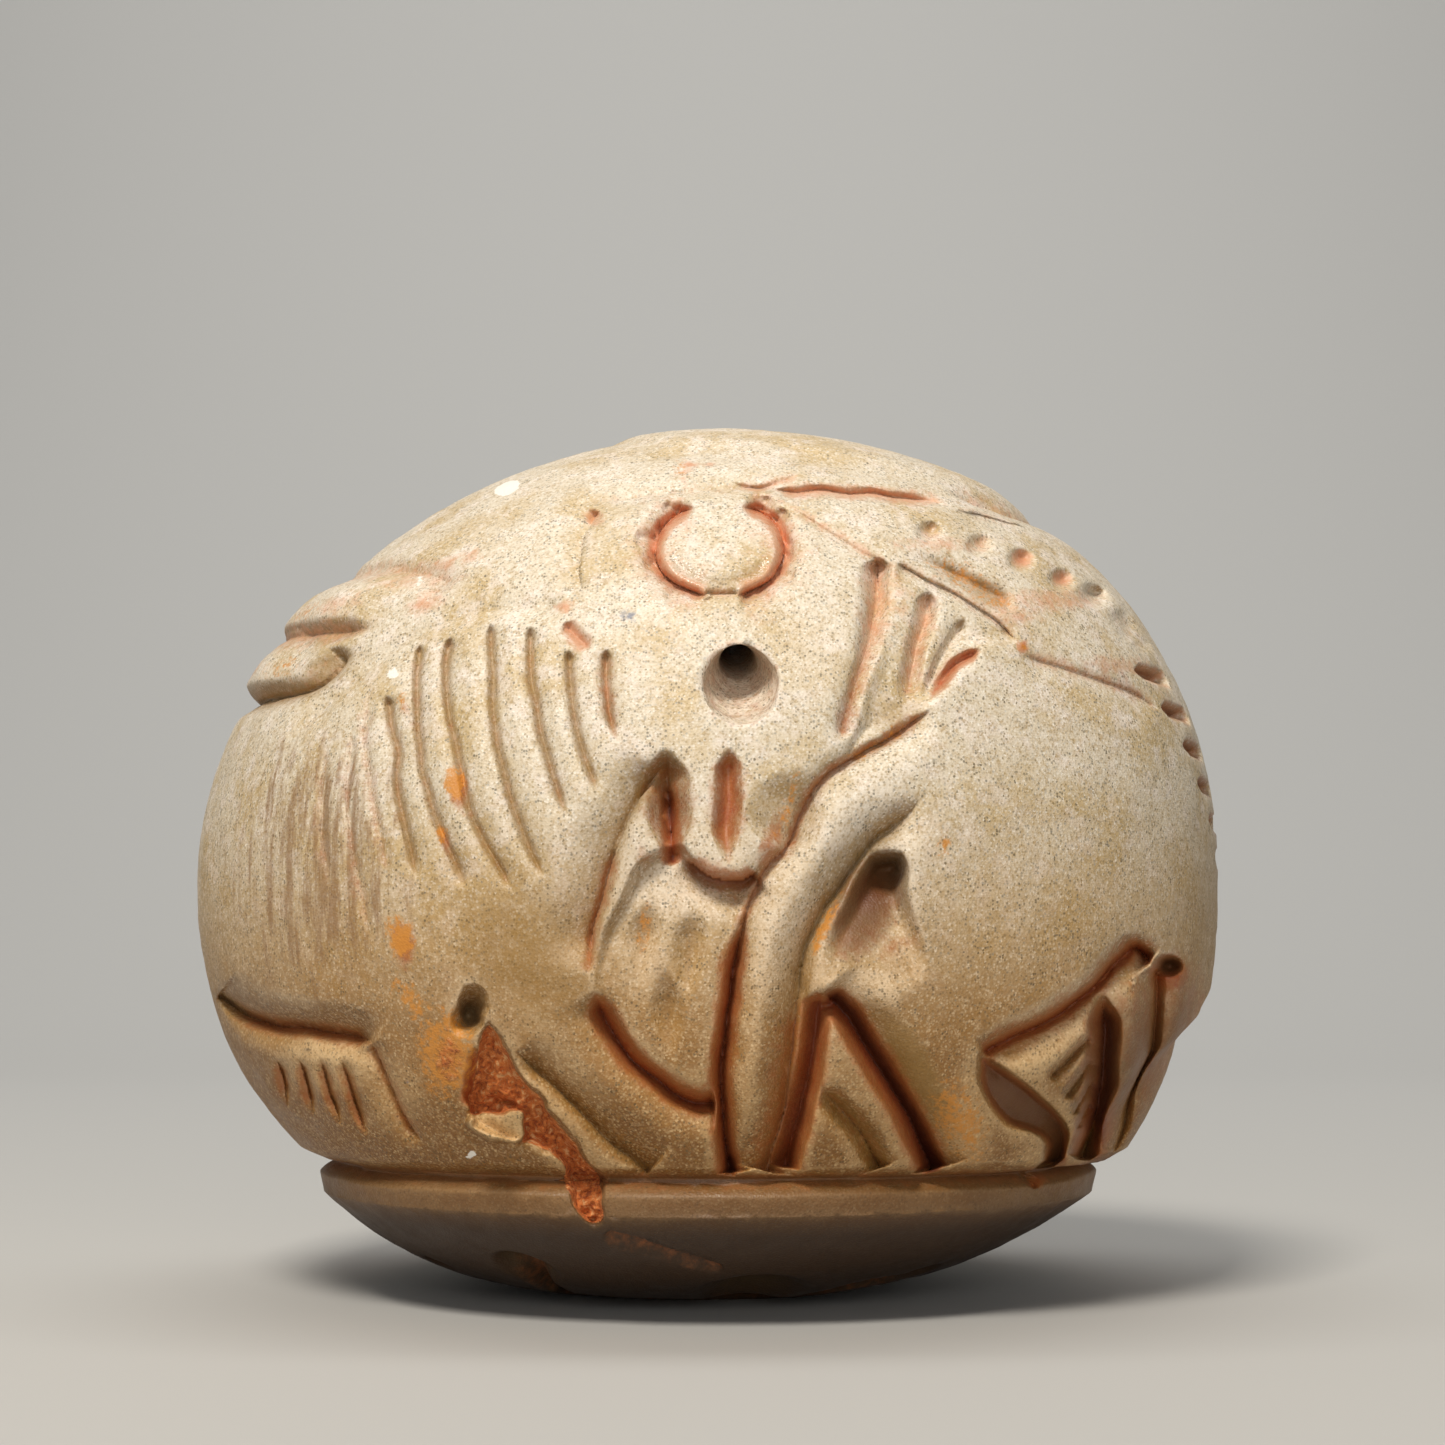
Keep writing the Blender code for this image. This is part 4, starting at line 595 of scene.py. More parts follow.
def carve_left_end(ends):
    def around(path):
        return [(DEGREE * degrees, v) for degrees, v in path]
    upper_roll = around([(-70, 62.6), (-40, 64.6), (0, 65.5), (25, 64.8), (46, 63.4)])
    ends.cut(upper_roll, 3, -1.3, fade=(4, 4.5), shape=ROUND)
    lower_roll = around([(-70, 57.5), (-35, 59.3), (0, 60), (15, 59.5), (30, 58.8)])
    ends.cut(lower_roll, 2.9, -1, fade=(4, 3), shape=ROUND)
    # The olive in the cuts between, under and over the rolls is painted shade.
    between_rolls = around([(-60, 60.5), (-30, 62.3), (5, 62.9), (22, 62.2), (44, 61.2)])
    ends.cut(between_rolls, 1.2, 1.1, fade=(3, 3), rust=0.4, olive=0.6)
    under_roll = around([(-70, 54.7), (-35, 56.4), (0, 57.1), (18, 56.5), (32, 56.4), (36, 58.4), (34, 60.4)])
    ends.cut(under_roll, 1.3, 1.4, right=(0.6, 3), fade=(4, 2), olive=0.8, rust=0.2)
    over_roll = around([(-60, 66.3), (-10, 68.6), (20, 68.4), (40, 67.2), (50, 65.4), (50, 63)])
    ends.cut(over_roll, 1.2, 0.7, fade=(3, 2.5), rust=0.3, olive=0.35)
    for name, degrees, v, amount in (("rust", 10, 65, 0.34), ("ochre", 24, 64.4, 0.42),
                                     ("rust", 33, 64.2, 0.34), ("rust", 14, 59.6, 0.34),
                                     ("ochre", 26, 58.8, 0.4), ("rust", 42, 66, 0.3)):
        ends.daub(name, (DEGREE * degrees, v, 2.2, 1.5, amount))


def carve_right_end(ends):
    # The umber in the notches and the umber and olive daubs below are painted shade.
    for notch in range(8):
        middle = DEGREE * (24 - 3.4 * notch)
        height = 58.2 - 3.3 * notch
        ends.cut([(middle - 1.7, height), (middle + 1.7, height)], 0.8, 1.7, fade=(0.4, 1), rust=0.6,
                 umber=0.5)
    for scallop in range(6):
        ends.pit(DEGREE * (10 - 2 * scallop), 73.5 - 2.9 * scallop, 1.4, 1.3, 1.2)
    ends.cut([(5, 27), (2, 27.6), (-4, 29)], 1.4, 1, fade=(3.5, 3), rust=0.4)
    set_back = [(10, 21), (7, 25.5), (2, 28.2), (-6, 29.5), (-10, 24), (-8, 10), (11, 10)]
    ends.sink(set_back, 2.5, 0, 3.6)
    ends.daub("umber", (9, 22, 6, 9, 0.7))
    ends.daub("rust", (8, 24, 7, 10, 0.45))
    ends.daub("olive", (2, 36, 12, 16, 0.45))


# The back and the crown
# Nothing of these shows in the photo, so they are carved in the same manner and plainer: spine, ribs, a
# folded hind leg and a foreleg, under a smooth dome.

def carve_back(back):
    spine = [(-36, 52), (-28, 61), (-14, 67.5), (2, 69), (18, 66.5), (32, 59)]
    back.cut(spine, 0.8, 1, right=(0.7, 4), fade=(3, 3), rust=0.5)
    for notch in range(9):
        share = (notch + 1) / 10
        u = -30 + 56 * share
        v = 63.5 + 24 * share * (1 - share)
        back.cut([(u, v + 1), (u + 0.5, v + 3.2)], 0.6, 0.8, fade=(0.5, 0.8), rust=0.5)
    haunch = [(-31, 17), (-30, 30), (-22, 41), (-9, 44.5), (2, 38.5), (6.5, 27), (5, 15.5)]
    back.cut(haunch, 1, 1.5, right=(1, 5), left=(0.8, 4), fade=(3, 0.5), rust=0.7)
    shank = [(-25, 20.5), (-15, 24.5), (-4, 23), (3, 17)]
    back.cut(shank, 0.9, 1.3, right=(0.8, 3.5), fade=(2.5, 0.5), rust=0.8)
    foreleg = [(28, 44), (22, 36), (18.5, 26), (19, 15.5)]
    back.cut(foreleg, 0.9, 1.4, right=(0.8, 4), left=(0.8, 4), fade=(3, 0.4), rust=0.8)
    forearm = [(33, 33), (28, 26), (26.5, 16)]
    back.cut(forearm, 0.8, 1.1, left=(0.7, 3), fade=(2.5, 0.4), rust=0.6)
    for rib in range(5):
        top = (4 + 4.6 * rib, 62 - 0.9 * rib)
        foot = (8.5 + 3.4 * rib, 42 + 1.2 * rib)
        back.cut([top, (top[0] + 1, 52), foot], 0.75, 0.8, fade=(2, 4), rust=0.35)
    for toe in range(3):
        back.cut([(8.8 + 2.4 * toe, 20), (9.4 + 2.4 * toe, 15.2)], 0.6, 0.8, fade=(1, 0.5), rust=0.5)
    for u, v, size in ((-12, 52, 1.4), (30, 40, 1.8), (10, 30, 1)):
        back.daub("ochre", (u, v, size, 1.4 * size, 0.6))
    back.daub("streak", (20, 40, 26, 30, 0.6))


def carve_crown(top):
    dome = [(-3, -21), (10, -23), (23, -19), (31.5, -8), (33, 8), (24, 21), (8, 27), (-8, 23), (-14, 10),
            (-10, -8)]
    top.sink(dome, -0.6, -0.6, 3)
    dome_edge = [(22, -20), (29, -13), (33, -3), (33, 8), (26, 20)]
    top.cut(dome_edge, 1, 0.7, right=(0.9, 5), fade=(4, 4), rust=0.3)


# The seal face
# Two horned beasts are sunk in the domed underside, head to tail round a bare middle, in drilled pits
# joined by ground strokes. Nothing of them can be read in the photo, so they are generic.

def engrave_seal(seal):
    for turn in (1, -1):
        for width, depth, path in ((2.6, 2.4, [(-14, -13), (-4, -14.5), (8, -13)]),
                                   (1.3, 1.6, [(-13, -15), (-14.8, -19), (-16, -23)]),
                                   (1.5, 2.0, [(7.5, -14), (14, -17), (18, -14.5)]),
                                   (0.9, 1.3, [(17, -12.5), (14, -8), (18, -3), (23, -4)]),
                                   (1.0, 1.3, [(-15, -12), (-20, -9), (-21, -4)]),
                                   (0.8, 0.9, [(-9, -32), (-6, -31.5), (-2.6, -30), (1.6, -27.5)])):
            line = [(turn * u, turn * v) for u, v in path]
            seal.cut(line, width, depth, fade=(1, 1), shape=GOUGE, rust=0.35)
        for u, v, across, high, depth in ((-16, -23, 3.4, 3.4, 2.8), (4, -21, 5.8, 5.6, 2.6),
                                          (19.5, -15, 2.6, 2.4, 2.4), (-25, -12, 1.8, 1.8, 1.6),
                                          (26, 4, 1.8, 1.8, 1.6)):
            seal.pit(turn * u, turn * v, across, high, depth)
        # The umber in the two big pits is painted shade.
        seal.daub("umber", (turn * -16, turn * -23, 3.4, 3.4, 0.8), (turn * 4, turn * -21, 5.4, 5.2, 0.8))


# The carved bead
# All strokes are pressed into the pebble from the side each was cut from, the ground line is sawn round
# it, and handling has left the whole surface slightly uneven.

# The strokes of the front are laid out as seen from this point, in steps, looking up by the tilt
EYE_SIDE, EYE_DISTANCE, EYE_HEIGHT = 1.45, 250.0, 29.0
EYE_TILT = math.radians(6.1)
ORIGIN_SIDE, ORIGIN_UP = 1.75, 4.25
GROUND_CUT, GROUND_CUT_DEPTH = 0.5 * MM, 0.62 * MM

# Strokes fade as the stone turns away from their side: gone at the first facing and full at the second
FRONT_FACING, DAMAGE_FACING = (0.05, 0.3), (0.1, 0.3)
END_FACING, BACK_FACING, LEVEL_FACING = (0.3, 0.5), (0.15, 0.4), (0.4, 0.7)
LEAST_FACING = 0.4
FADE_BELOW, FADE_ABOVE = 0.1 * MM, 0.3 * MM
HAND_WAVER = 0.16
LINE_WAVER, LINE_WAVER_SIZE = 0.1 * MM, 2.5 * MM

# Hollows and swells that handling left: depth and size in millimetres, and seed
UNEVEN = ((0.05, 3.0, 31), (0.02, 0.9, 32), (0.012, 0.35, 33))
RUBBED_AWAY = 0.04


def carve(points, normals):
    """The carved places of points on the pebble, their stains, and how deep each was cut."""
    moved = points.copy()
    stains = {name: np.zeros(len(points)) for name in STAINS}
    cut_depth = np.zeros(len(points))

    def press(side, toward, facing, weight):
        depth = side.relief * STEP * weight / np.clip(facing, LEAST_FACING, 1.0)
        moved[:] += toward * depth[:, None]
        cut_depth[:] -= side.relief * STEP * weight
        for name in STAINS:
            stains[name] = np.maximum(stains[name], side.stain[name] * weight)

    eye = np.array((EYE_SIDE * STEP, -EYE_DISTANCE * STEP, EYE_HEIGHT * STEP_UP))
    ahead = np.array((0.0, math.cos(EYE_TILT), math.sin(EYE_TILT)))
    above = np.array((0.0, -math.sin(EYE_TILT), math.cos(EYE_TILT)))
    sight = points - eye
    reach = sight @ ahead
    across = EYE_DISTANCE * sight[:, 0] / reach - ORIGIN_SIDE
    upward = EYE_DISTANCE * (sight @ above) / reach * STEP / STEP_UP - ORIGIN_UP
    toward = -sight / np.linalg.norm(sight, axis=1)[:, None]
    facing = np.sum(normals * toward, axis=1)
    over_ground = ease(GROUND_LINE - FADE_BELOW, GROUND_LINE + FADE_ABOVE, points[:, 2])
    spot = np.column_stack((across, upward, across + upward))
    front = Side(across + HAND_WAVER * grit(spot, 3.1, 11), upward + HAND_WAVER * grit(spot, 2.7, 12))
    for carve_feature in (carve_head, carve_beard, carve_right_limb, carve_hollow, carve_haunch, carve_mane,
                          carve_fleece, carve_left_limb):
        carve_feature(front)
    press(front, toward, facing, ease(*FRONT_FACING, facing) * over_ground)
    crumble = 2 * HAND_WAVER
    damage = Side(across + crumble * grit(spot, 1.6, 13), upward + crumble * grit(spot, 1.4, 14))
    break_front(damage)
    press(damage, toward, facing, ease(*DAMAGE_FACING, facing))

    flank = points * (1.0, 1.0, 0.0)
    flank /= np.linalg.norm(flank, axis=1)[:, None] + 1e-9
    facing = np.sum(normals * flank, axis=1)
    for end, carve_end in ((-1.0, carve_left_end), (1.0, carve_right_end)):
        degrees = np.degrees(np.arctan2(-points[:, 1], end * points[:, 0]))
        ends = Side(DEGREE * degrees, points[:, 2] / STEP_UP)
        carve_end(ends)
        press(ends, flank, facing, ease(*END_FACING, facing) * over_ground)

    for direction, carve_side in (((0.0, 1.0, 0.0), carve_back), ((0.0, 0.0, 1.0), carve_crown),
                                  ((0.0, 0.0, -1.0), engrave_seal)):
        toward = np.array(direction)
        facing = normals @ toward
        if toward[1]:
            side = Side(-points[:, 0] / STEP, points[:, 2] / STEP_UP)
            weight = ease(*BACK_FACING, facing) * over_ground
        else:
            side = Side(points[:, 0] / STEP, points[:, 1] / STEP_ACROSS)
            weight = ease(*LEVEL_FACING, facing)
        carve_side(side)
        press(side, toward, facing, weight)

    waver = LINE_WAVER * grit(points, LINE_WAVER_SIZE, 21)
    from_line = np.abs(points[:, 2] - GROUND_LINE + waver) / GROUND_CUT
    ground_cut = np.clip(1 - from_line, 0.0, 1.0) ** KNIFE_BOW
    moved -= flank * (GROUND_CUT_DEPTH * ground_cut)[:, None]
    # Along the ground cut the rust is real stain and the umber is partly dirt and partly painted shade in the
    # groove.
    for name, amount in (("rust", 0.6), ("umber", 0.8)):
        stains[name] = np.maximum(stains[name], amount * ground_cut)
    return moved, stains, cut_depth + GROUND_CUT_DEPTH * ground_cut


def read(mesh, what):
    """The places or normals of a mesh's points, one row for each."""
    values = np.empty(len(mesh.vertices) * 3)
    mesh.vertices.foreach_get(what, values)
    return values.reshape(-1, 3)


def added(name, data):
    """A new object in the scene."""
    thing = bpy.data.objects.new(name, data)
    bpy.context.scene.collection.objects.link(thing)
    return thing


def make_bead():
    """A sheet of rows and turns is closed to a ball, drawn out to the pebble, carved and thinned."""
    sheet = bmesh.new()
    bmesh.ops.create_grid(sheet, x_segments=TURNS, y_segments=ROWS, size=1.0)
    mesh = bpy.data.meshes.new("carved_bead")
    sheet.to_mesh(mesh)
    flat = read(mesh, "co")
    longitude, latitude = math.pi * flat[:, 0], math.pi / 2 * flat[:, 1]
    ring = np.cos(latitude)
    ball = np.column_stack((ring * np.cos(longitude), ring * np.sin(longitude), np.sin(latitude)))
    mesh.vertices.foreach_set("co", ball.ravel())
    sheet.clear()
    sheet.from_mesh(mesh)
    bmesh.ops.remove_doubles(sheet, verts=sheet.verts, dist=WELD)
    mesh.clear_geometry()
    sheet.to_mesh(mesh)
    sheet.free()

    points = read(mesh, "co")
    turn = np.arctan2(points[:, 1], points[:, 0])
    turn -= FRONT_CROWDING * np.cos(turn)
    rise = 0.5 + np.arcsin(np.clip(points[:, 2], -1.0, 1.0)) / math.pi
    points = pebble(turn, rise)
    mesh.vertices.foreach_set("co", points.ravel())
    mesh.update()
    normals = read(mesh, "normal")
    points, _, _ = carve(points, normals)
    uneven = sum(depth * grit(points, size * MM, seed) for depth, size, seed in UNEVEN)
    points += normals * (MM * (uneven - RUBBED_AWAY))[:, None]
    points = np.clip(points, np.array(cad_low), np.array(cad_high))
    mesh.vertices.foreach_set("co", points.ravel())
    mesh.update()
    made = added("carved_bead", mesh)
    thin = made.modifiers.new("thin", "DECIMATE")
    thin.ratio = KEPT_TRIANGLES / (2 * TURNS * ROWS)
    return made


bead = make_bead()


# The bore
# A cord once ran through the bead. The bore rises from the brow to the back, drilled from each end with a
# wider bit that left rings on its wall, and each mouth is worn to a small dish.

BORE_DIAMETER, STAGE_DIAMETER, MOUTH_DIAMETER = 1.3 * MM, 2.6 * MM, 2.8 * MM
STAGE_DEPTH, MOUTH_DEPTH, DISH_FLOOR = 3.0 * MM, 0.3 * MM, 0.9
BORE_HEIGHT, BORE_SIDE = 21.9 * MM, 1.2 * MM
BORE_RISE, BORE_SWING = math.radians(20.0), math.radians(2.0)
RING_PITCH, RING_DEPTH, RING_START = 0.4 * MM, 0.035 * MM, 0.6
BORE_SIDES = 48


def turned(name, outline, place, aim):
    """A cutter turned from (radius, height) points, closed at both ends."""
    form = bmesh.new()
    rings = []
    for radius, height in outline:
        rings.append([form.verts.new((radius * math.cos(math.tau * k / BORE_SIDES),
                                      radius * math.sin(math.tau * k / BORE_SIDES), height))
                      for k in range(BORE_SIDES)])
    for low, high in zip(rings, rings[1:]):
        for k in range(BORE_SIDES):
            form.faces.new((low[k], low[k - 1], high[k - 1], high[k]))
    form.faces.new(rings[0])
    form.faces.new(rings[-1][::-1])
    bmesh.ops.recalc_face_normals(form, faces=form.faces)
    mesh = bpy.data.meshes.new(name)
    form.to_mesh(mesh)
    form.free()
    cutter = added(name, mesh)
    cutter.location = place
    cutter.rotation_euler = aim
    cut = bead.modifiers.new(name, "BOOLEAN")
    cut.operation = "DIFFERENCE"
    cut.solver = "EXACT"
    cut.object = cutter
    return cutter


level = math.cos(BORE_RISE)
along = np.array((-math.sin(BORE_SWING) * level, math.cos(BORE_SWING) * level, math.sin(BORE_RISE)))
crown_size = np.array((DEPTH / 2, HEIGHT - WAIST))
above_waist = BORE_HEIGHT - WAIST
before_waist = crown_size[0] * math.sqrt(1 - (above_waist / crown_size[1]) ** 2)
near_mouth = np.array((BORE_SIDE, -before_waist, BORE_HEIGHT))
place = np.array((near_mouth[1], above_waist)) / crown_size
heading = along[1:] / crown_size
far_mouth = near_mouth - 2 * (place @ heading) / (heading @ heading) * along
aim = (BORE_RISE - math.pi / 2, 0, BORE_SWING)
length = np.linalg.norm(far_mouth - near_mouth)
rings = []
for step in range(round(2 * (length + 2 * STAGE_DEPTH) / RING_PITCH) + 1):
    up = step * RING_PITCH / 2 - length / 2 - STAGE_DEPTH
    inward = min(max((length / 2 - abs(up)) / STAGE_DEPTH, 0.0), 1.0)
    swell = RING_DEPTH * math.sin(math.pi * step / 2 + RING_START) * (1 - inward)
    rings.append(((STAGE_DIAMETER + inward * (BORE_DIAMETER - STAGE_DIAMETER)) / 2 + swell, up))
cutters = [turned("bore", rings, (near_mouth + far_mouth) / 2, aim)]
for name, mouth, side in (("near_dish", near_mouth, 1), ("far_dish", far_mouth, -1)):
    slope = math.atan2((mouth[2] - WAIST) / crown_size[1] ** 2, abs(mouth[1]) / crown_size[0] ** 2)
    floor = DISH_FLOOR * STAGE_DIAMETER / 2
    rise = STAGE_DEPTH / 2
    brim = MOUTH_DIAMETER / 2 + (MOUTH_DIAMETER / 2 - floor) * rise / MOUTH_DEPTH
    dish = [(floor, -MOUTH_DEPTH), (brim, rise)]
    cutters.append(turned(name, dish, mouth, (side * (math.pi / 2 - slope), 0, 0)))

bpy.context.view_layer.update()
finished = bpy.data.meshes.new_from_object(bead.evaluated_get(bpy.context.evaluated_depsgraph_get()))
finished.name = "carved_bead"
bead.modifiers.clear()
bead.data = finished
for cutter in cutters:
    bpy.data.objects.remove(cutter)


# Stain, dirt and wear on the bead, and painted shade and painted light
# Iron-red dirt fills the cuts, brown streaks run down the left side, and ochre, chalky and blue-black
# flecks are scattered where the photo shows them. Each is laid on the finished mesh by its place.

LEVELLINGS = 30
# The bore's wall is tinted pale pink, painted light on the bore's floor.
BORE_WALL, BORE_PAINTED_LIGHT = 1.02 * STAGE_DIAMETER / 2, (("rust", 0.24), ("wear_and_painted_light", 0.9))

# Where each starts and is full, in millimetres: height over the floor, depth of cut, and how proud or sunk
LOW_DOWN, DEEP, PROUD, SUNK = (17.0, 24.0), (0.45, 1.5), (0.12, 0.30), (0.03, 0.26)
GRIME_AND_SHADE_ABOVE = 0.35
UNDERSIDE_SHADE_START, UNDERSIDE_SHADE_SPAN = 0.25, 1.1

points = read(finished, "co")
outward = (points - (0, 0, WAIST)) / (LENGTH ** 2, DEPTH ** 2, HEIGHT ** 2)
outward /= np.linalg.norm(outward, axis=1)[:, None]
_, stains, cut_depth = carve(points, outward)
edges = np.empty(2 * len(finished.edges), dtype=np.int32)
finished.edges.foreach_get("vertices", edges)
starts, ends = edges.reshape(-1, 2).T
valence = np.bincount(edges, minlength=len(points))[:, None]
level_points = points.copy()
for _ in range(LEVELLINGS):
    total = np.zeros_like(points)
    for axis in range(3):
        total[:, axis] = (np.bincount(starts, level_points[ends, axis], len(points))
                          + np.bincount(ends, level_points[starts, axis], len(points)))
    level_points = total / valence
normals = read(finished, "normal")
proud = np.sum((points - level_points) * normals, axis=1) / MM
from_bore = points - near_mouth
from_axis = np.linalg.norm(from_bore - (from_bore @ along)[:, None] * along, axis=1)
in_bore = from_axis < BORE_WALL
# Painted light: the bore's wall is made pale pink.
for name, amount in BORE_PAINTED_LIGHT:
    stains[name] = np.maximum(stains[name], np.where(in_bore, amount, 0.0))
low_down = 1 - ease(*LOW_DOWN, points[:, 2] / MM)
# Painted shade, partly dirt: rust is darkened where the cut is deep and low down.
stains["deep_rust_and_shade"] = stains["rust"] * low_down * ease(*DEEP, cut_depth / MM)
stains["worn"] = ease(*PROUD, proud)
# Sunk places are darkened, more so low down and never in the bore: partly grime and partly painted shade.
stains["grime_and_cavity_shade"] = np.where(in_bore, 0.0, ease(*SUNK, -proud)) * (GRIME_AND_SHADE_ABOVE + (1 - GRIME_AND_SHADE_ABOVE) * low_down)
# Painted shade: faces turned downward are darkened.
stains["under"] = np.clip((UNDERSIDE_SHADE_START - normals[:, 2]) / UNDERSIDE_SHADE_SPAN, 0.0, 1.0)
for name, values in stains.items():
    layer = finished.attributes.new(name, "FLOAT", "POINT")
    layer.data.foreach_set("value", values.astype(np.float32))


# The stone
# Fine-grained tan stone, ground smooth and rubbed by handling: matte to satin, peppered with grey-olive
# grains of about 0.1 mm, warmer and paler on top and olive-brown lower down, partly grime and partly painted
# shade.

def linear(code):
    """An sRGB hex colour as linear red, green, blue and alpha."""
    shares = [int(code[place:place + 2], 16) / 255 for place in (0, 2, 4)]
    return [x / 12.92 if x <= 0.04045 else ((x + 0.055) / 1.055) ** 2.4 for x in shares] + [1.0]


def node(kind, inputs=(), out=0, **settings):
    """A node in the material at hand. An input takes a value or another node's output."""
    made = tree.nodes.new("ShaderNode" + kind)
    for name, value in settings.items():
        setattr(made, name, value)
    for name, value in dict(inputs).items():
        if isinstance(value, bpy.types.NodeSocket):
            tree.links.new(value, made.inputs[name])
        else:
            made.inputs[name].default_value = value
    return made.outputs[out]


stone = bpy.data.materials.new("ground_sandstone")
stone.use_nodes = True
tree = stone.node_tree
shader = tree.nodes["Principled BSDF"]
spot = node("VectorMath", {0: node("TexCoord", out="Object"), "Scale": 1 / MM}, operation="SCALE")

# Warm and pale on top and browner below, partly grime and partly painted shade, with clouds a few millimetres
# across, painted shade on faces turned downward and in sunk places, and dark brown dirt and painted shade
# under the rim
height = node("SeparateXYZ", {0: spot}, "Z")
clouds = node("TexNoise", {"Vector": spot, "Scale": 0.35, "Detail": 4.0})
puffs = node("TexNoise", {"Vector": spot, "Scale": 1.1, "Detail": 3.0})
threads = node("TexNoise", {"Vector": spot, "Scale": 4.2, "Detail": 5.0, "Roughness": 0.65,
                            "Distortion": 0.8})
worn, grime_and_cavity_shade, under, wear_and_painted_light, polish = (node("Attribute", out="Fac", attribute_name=name)
                                      for name in ("worn", "grime_and_cavity_shade", "under", "wear_and_painted_light", "gloss"))
body = linear("DBCDB5")
# The two height browns are partly grime and partly painted shade, the brown on faces turned downward is
# painted shade, and the brown in sunk places is partly grime and partly painted shade.
for colour, value, low, high, strength in (
        ("C4A874", clouds, 0.42, 0.66, 0.8),
        ("EADCCF", puffs, 0.48, 0.70, 0.65),
        ("B2935C", height, 23.0, 6.0, 0.8),
        ("96703C", height, 14.5, 7.0, 0.55),
        ("7C5A30", under, 0.1, 1.0, 0.85),
        ("E8DAC6", wear_and_painted_light, 0.0, 1.0, 0.75),
        ("AE9060", threads, 0.50, 0.70, 0.7),
        ("F2E9DC", threads, 0.50, 0.30, 0.4),
        ("8A6838", grime_and_cavity_shade, 0.0, 1.0, 0.6),
        ("EFE4D4", worn, 0.0, 1.0, 0.4)):
    amount = node("MapRange", {0: value, 1: low, 2: high, 4: strength}, interpolation_type="SMOOTHSTEP")
    body = node("Mix", {0: amount, 6: body, 7: linear(colour)}, 2, data_type="RGBA")

# Sand grains about 0.1 mm across. Each cell's random colour makes it pale, tan or one of the scattered
# grey-olive ones, which are denser in some places.
GRAINS_PER_MM = 11.5
grains = node("TexVoronoi", {"Vector": spot, "Scale": GRAINS_PER_MM}, "Color")
grain_edge = node("TexVoronoi", {"Vector": spot, "Scale": GRAINS_PER_MM}, "Distance")
crowd = node("MapRange", {0: node("TexNoise", {"Vector": spot, "Scale": 1.6}), 1: 0.35, 2: 0.65, 3: 0.3})
shrink = node("MapRange", {0: grain_edge, 1: 0.75, 2: 0.35})
for part, colour, low, high, strength in (
        ("Green", "F8F2E6", 0.45, 1.00, 0.5),
        ("Blue", "A08452", 0.45, 0.95, 0.6),
        ("Red", "5A5442", 0.76, 0.87, 0.75)):
    picked = node("SeparateColor", {0: grains}, part)
    amount = node("MapRange", {0: picked, 1: low, 2: high, 4: strength})
    amount = node("Math", {0: amount, 1: crowd if part == "Red" else 1.0}, operation="MULTIPLY")
    amount = node("Math", {0: amount, 1: shrink}, operation="MULTIPLY")
    body = node("Mix", {0: amount, 6: body, 7: linear(colour)}, 2, data_type="RGBA")
# Painted shade, partly grime: the lower body is warmed and darkened, and the rim and the underside below it
# are made dark brown.
amount = node("MapRange", {0: height, 1: 19.0, 2: 7.0}, interpolation_type="SMOOTHSTEP")
body = node("Mix", {0: amount, 6: body, 7: linear("EFD2A2")}, 2, data_type="RGBA", blend_type="MULTIPLY")
for colour, low, high, strength in (("6A4826", 5.4, 4.7, 0.75), ("2C1C0E", 4.6, 3.0, 0.85)):
    amount = node("MapRange", {0: height, 1: low, 2: high, 4: strength}, interpolation_type="SMOOTHSTEP")
    body = node("Mix", {0: amount, 6: body, 7: linear(colour)}, 2, data_type="RGBA")

# Each stain: its colour, where it starts and is full, how ragged its edge is, its grain per mm, its strength.
# The rust is salmon pink where it lies thin on the upper half, and brown-orange lower down.
upright = node("VectorMath", {0: spot, 1: (2.6, 2.6, 0.28)}, operation="MULTIPLY")
upper = node("MapRange", {0: height, 1: 20.5, 2: 24.5})
thin_rust = node("Mix", {0: upper, 6: linear("A4602E"), 7: linear("D29872")}, 2, data_type="RGBA")
thick_rust = node("Mix", {0: upper, 6: linear("9A4218"), 7: linear("C4602E")}, 2, data_type="RGBA")
amounts = {}
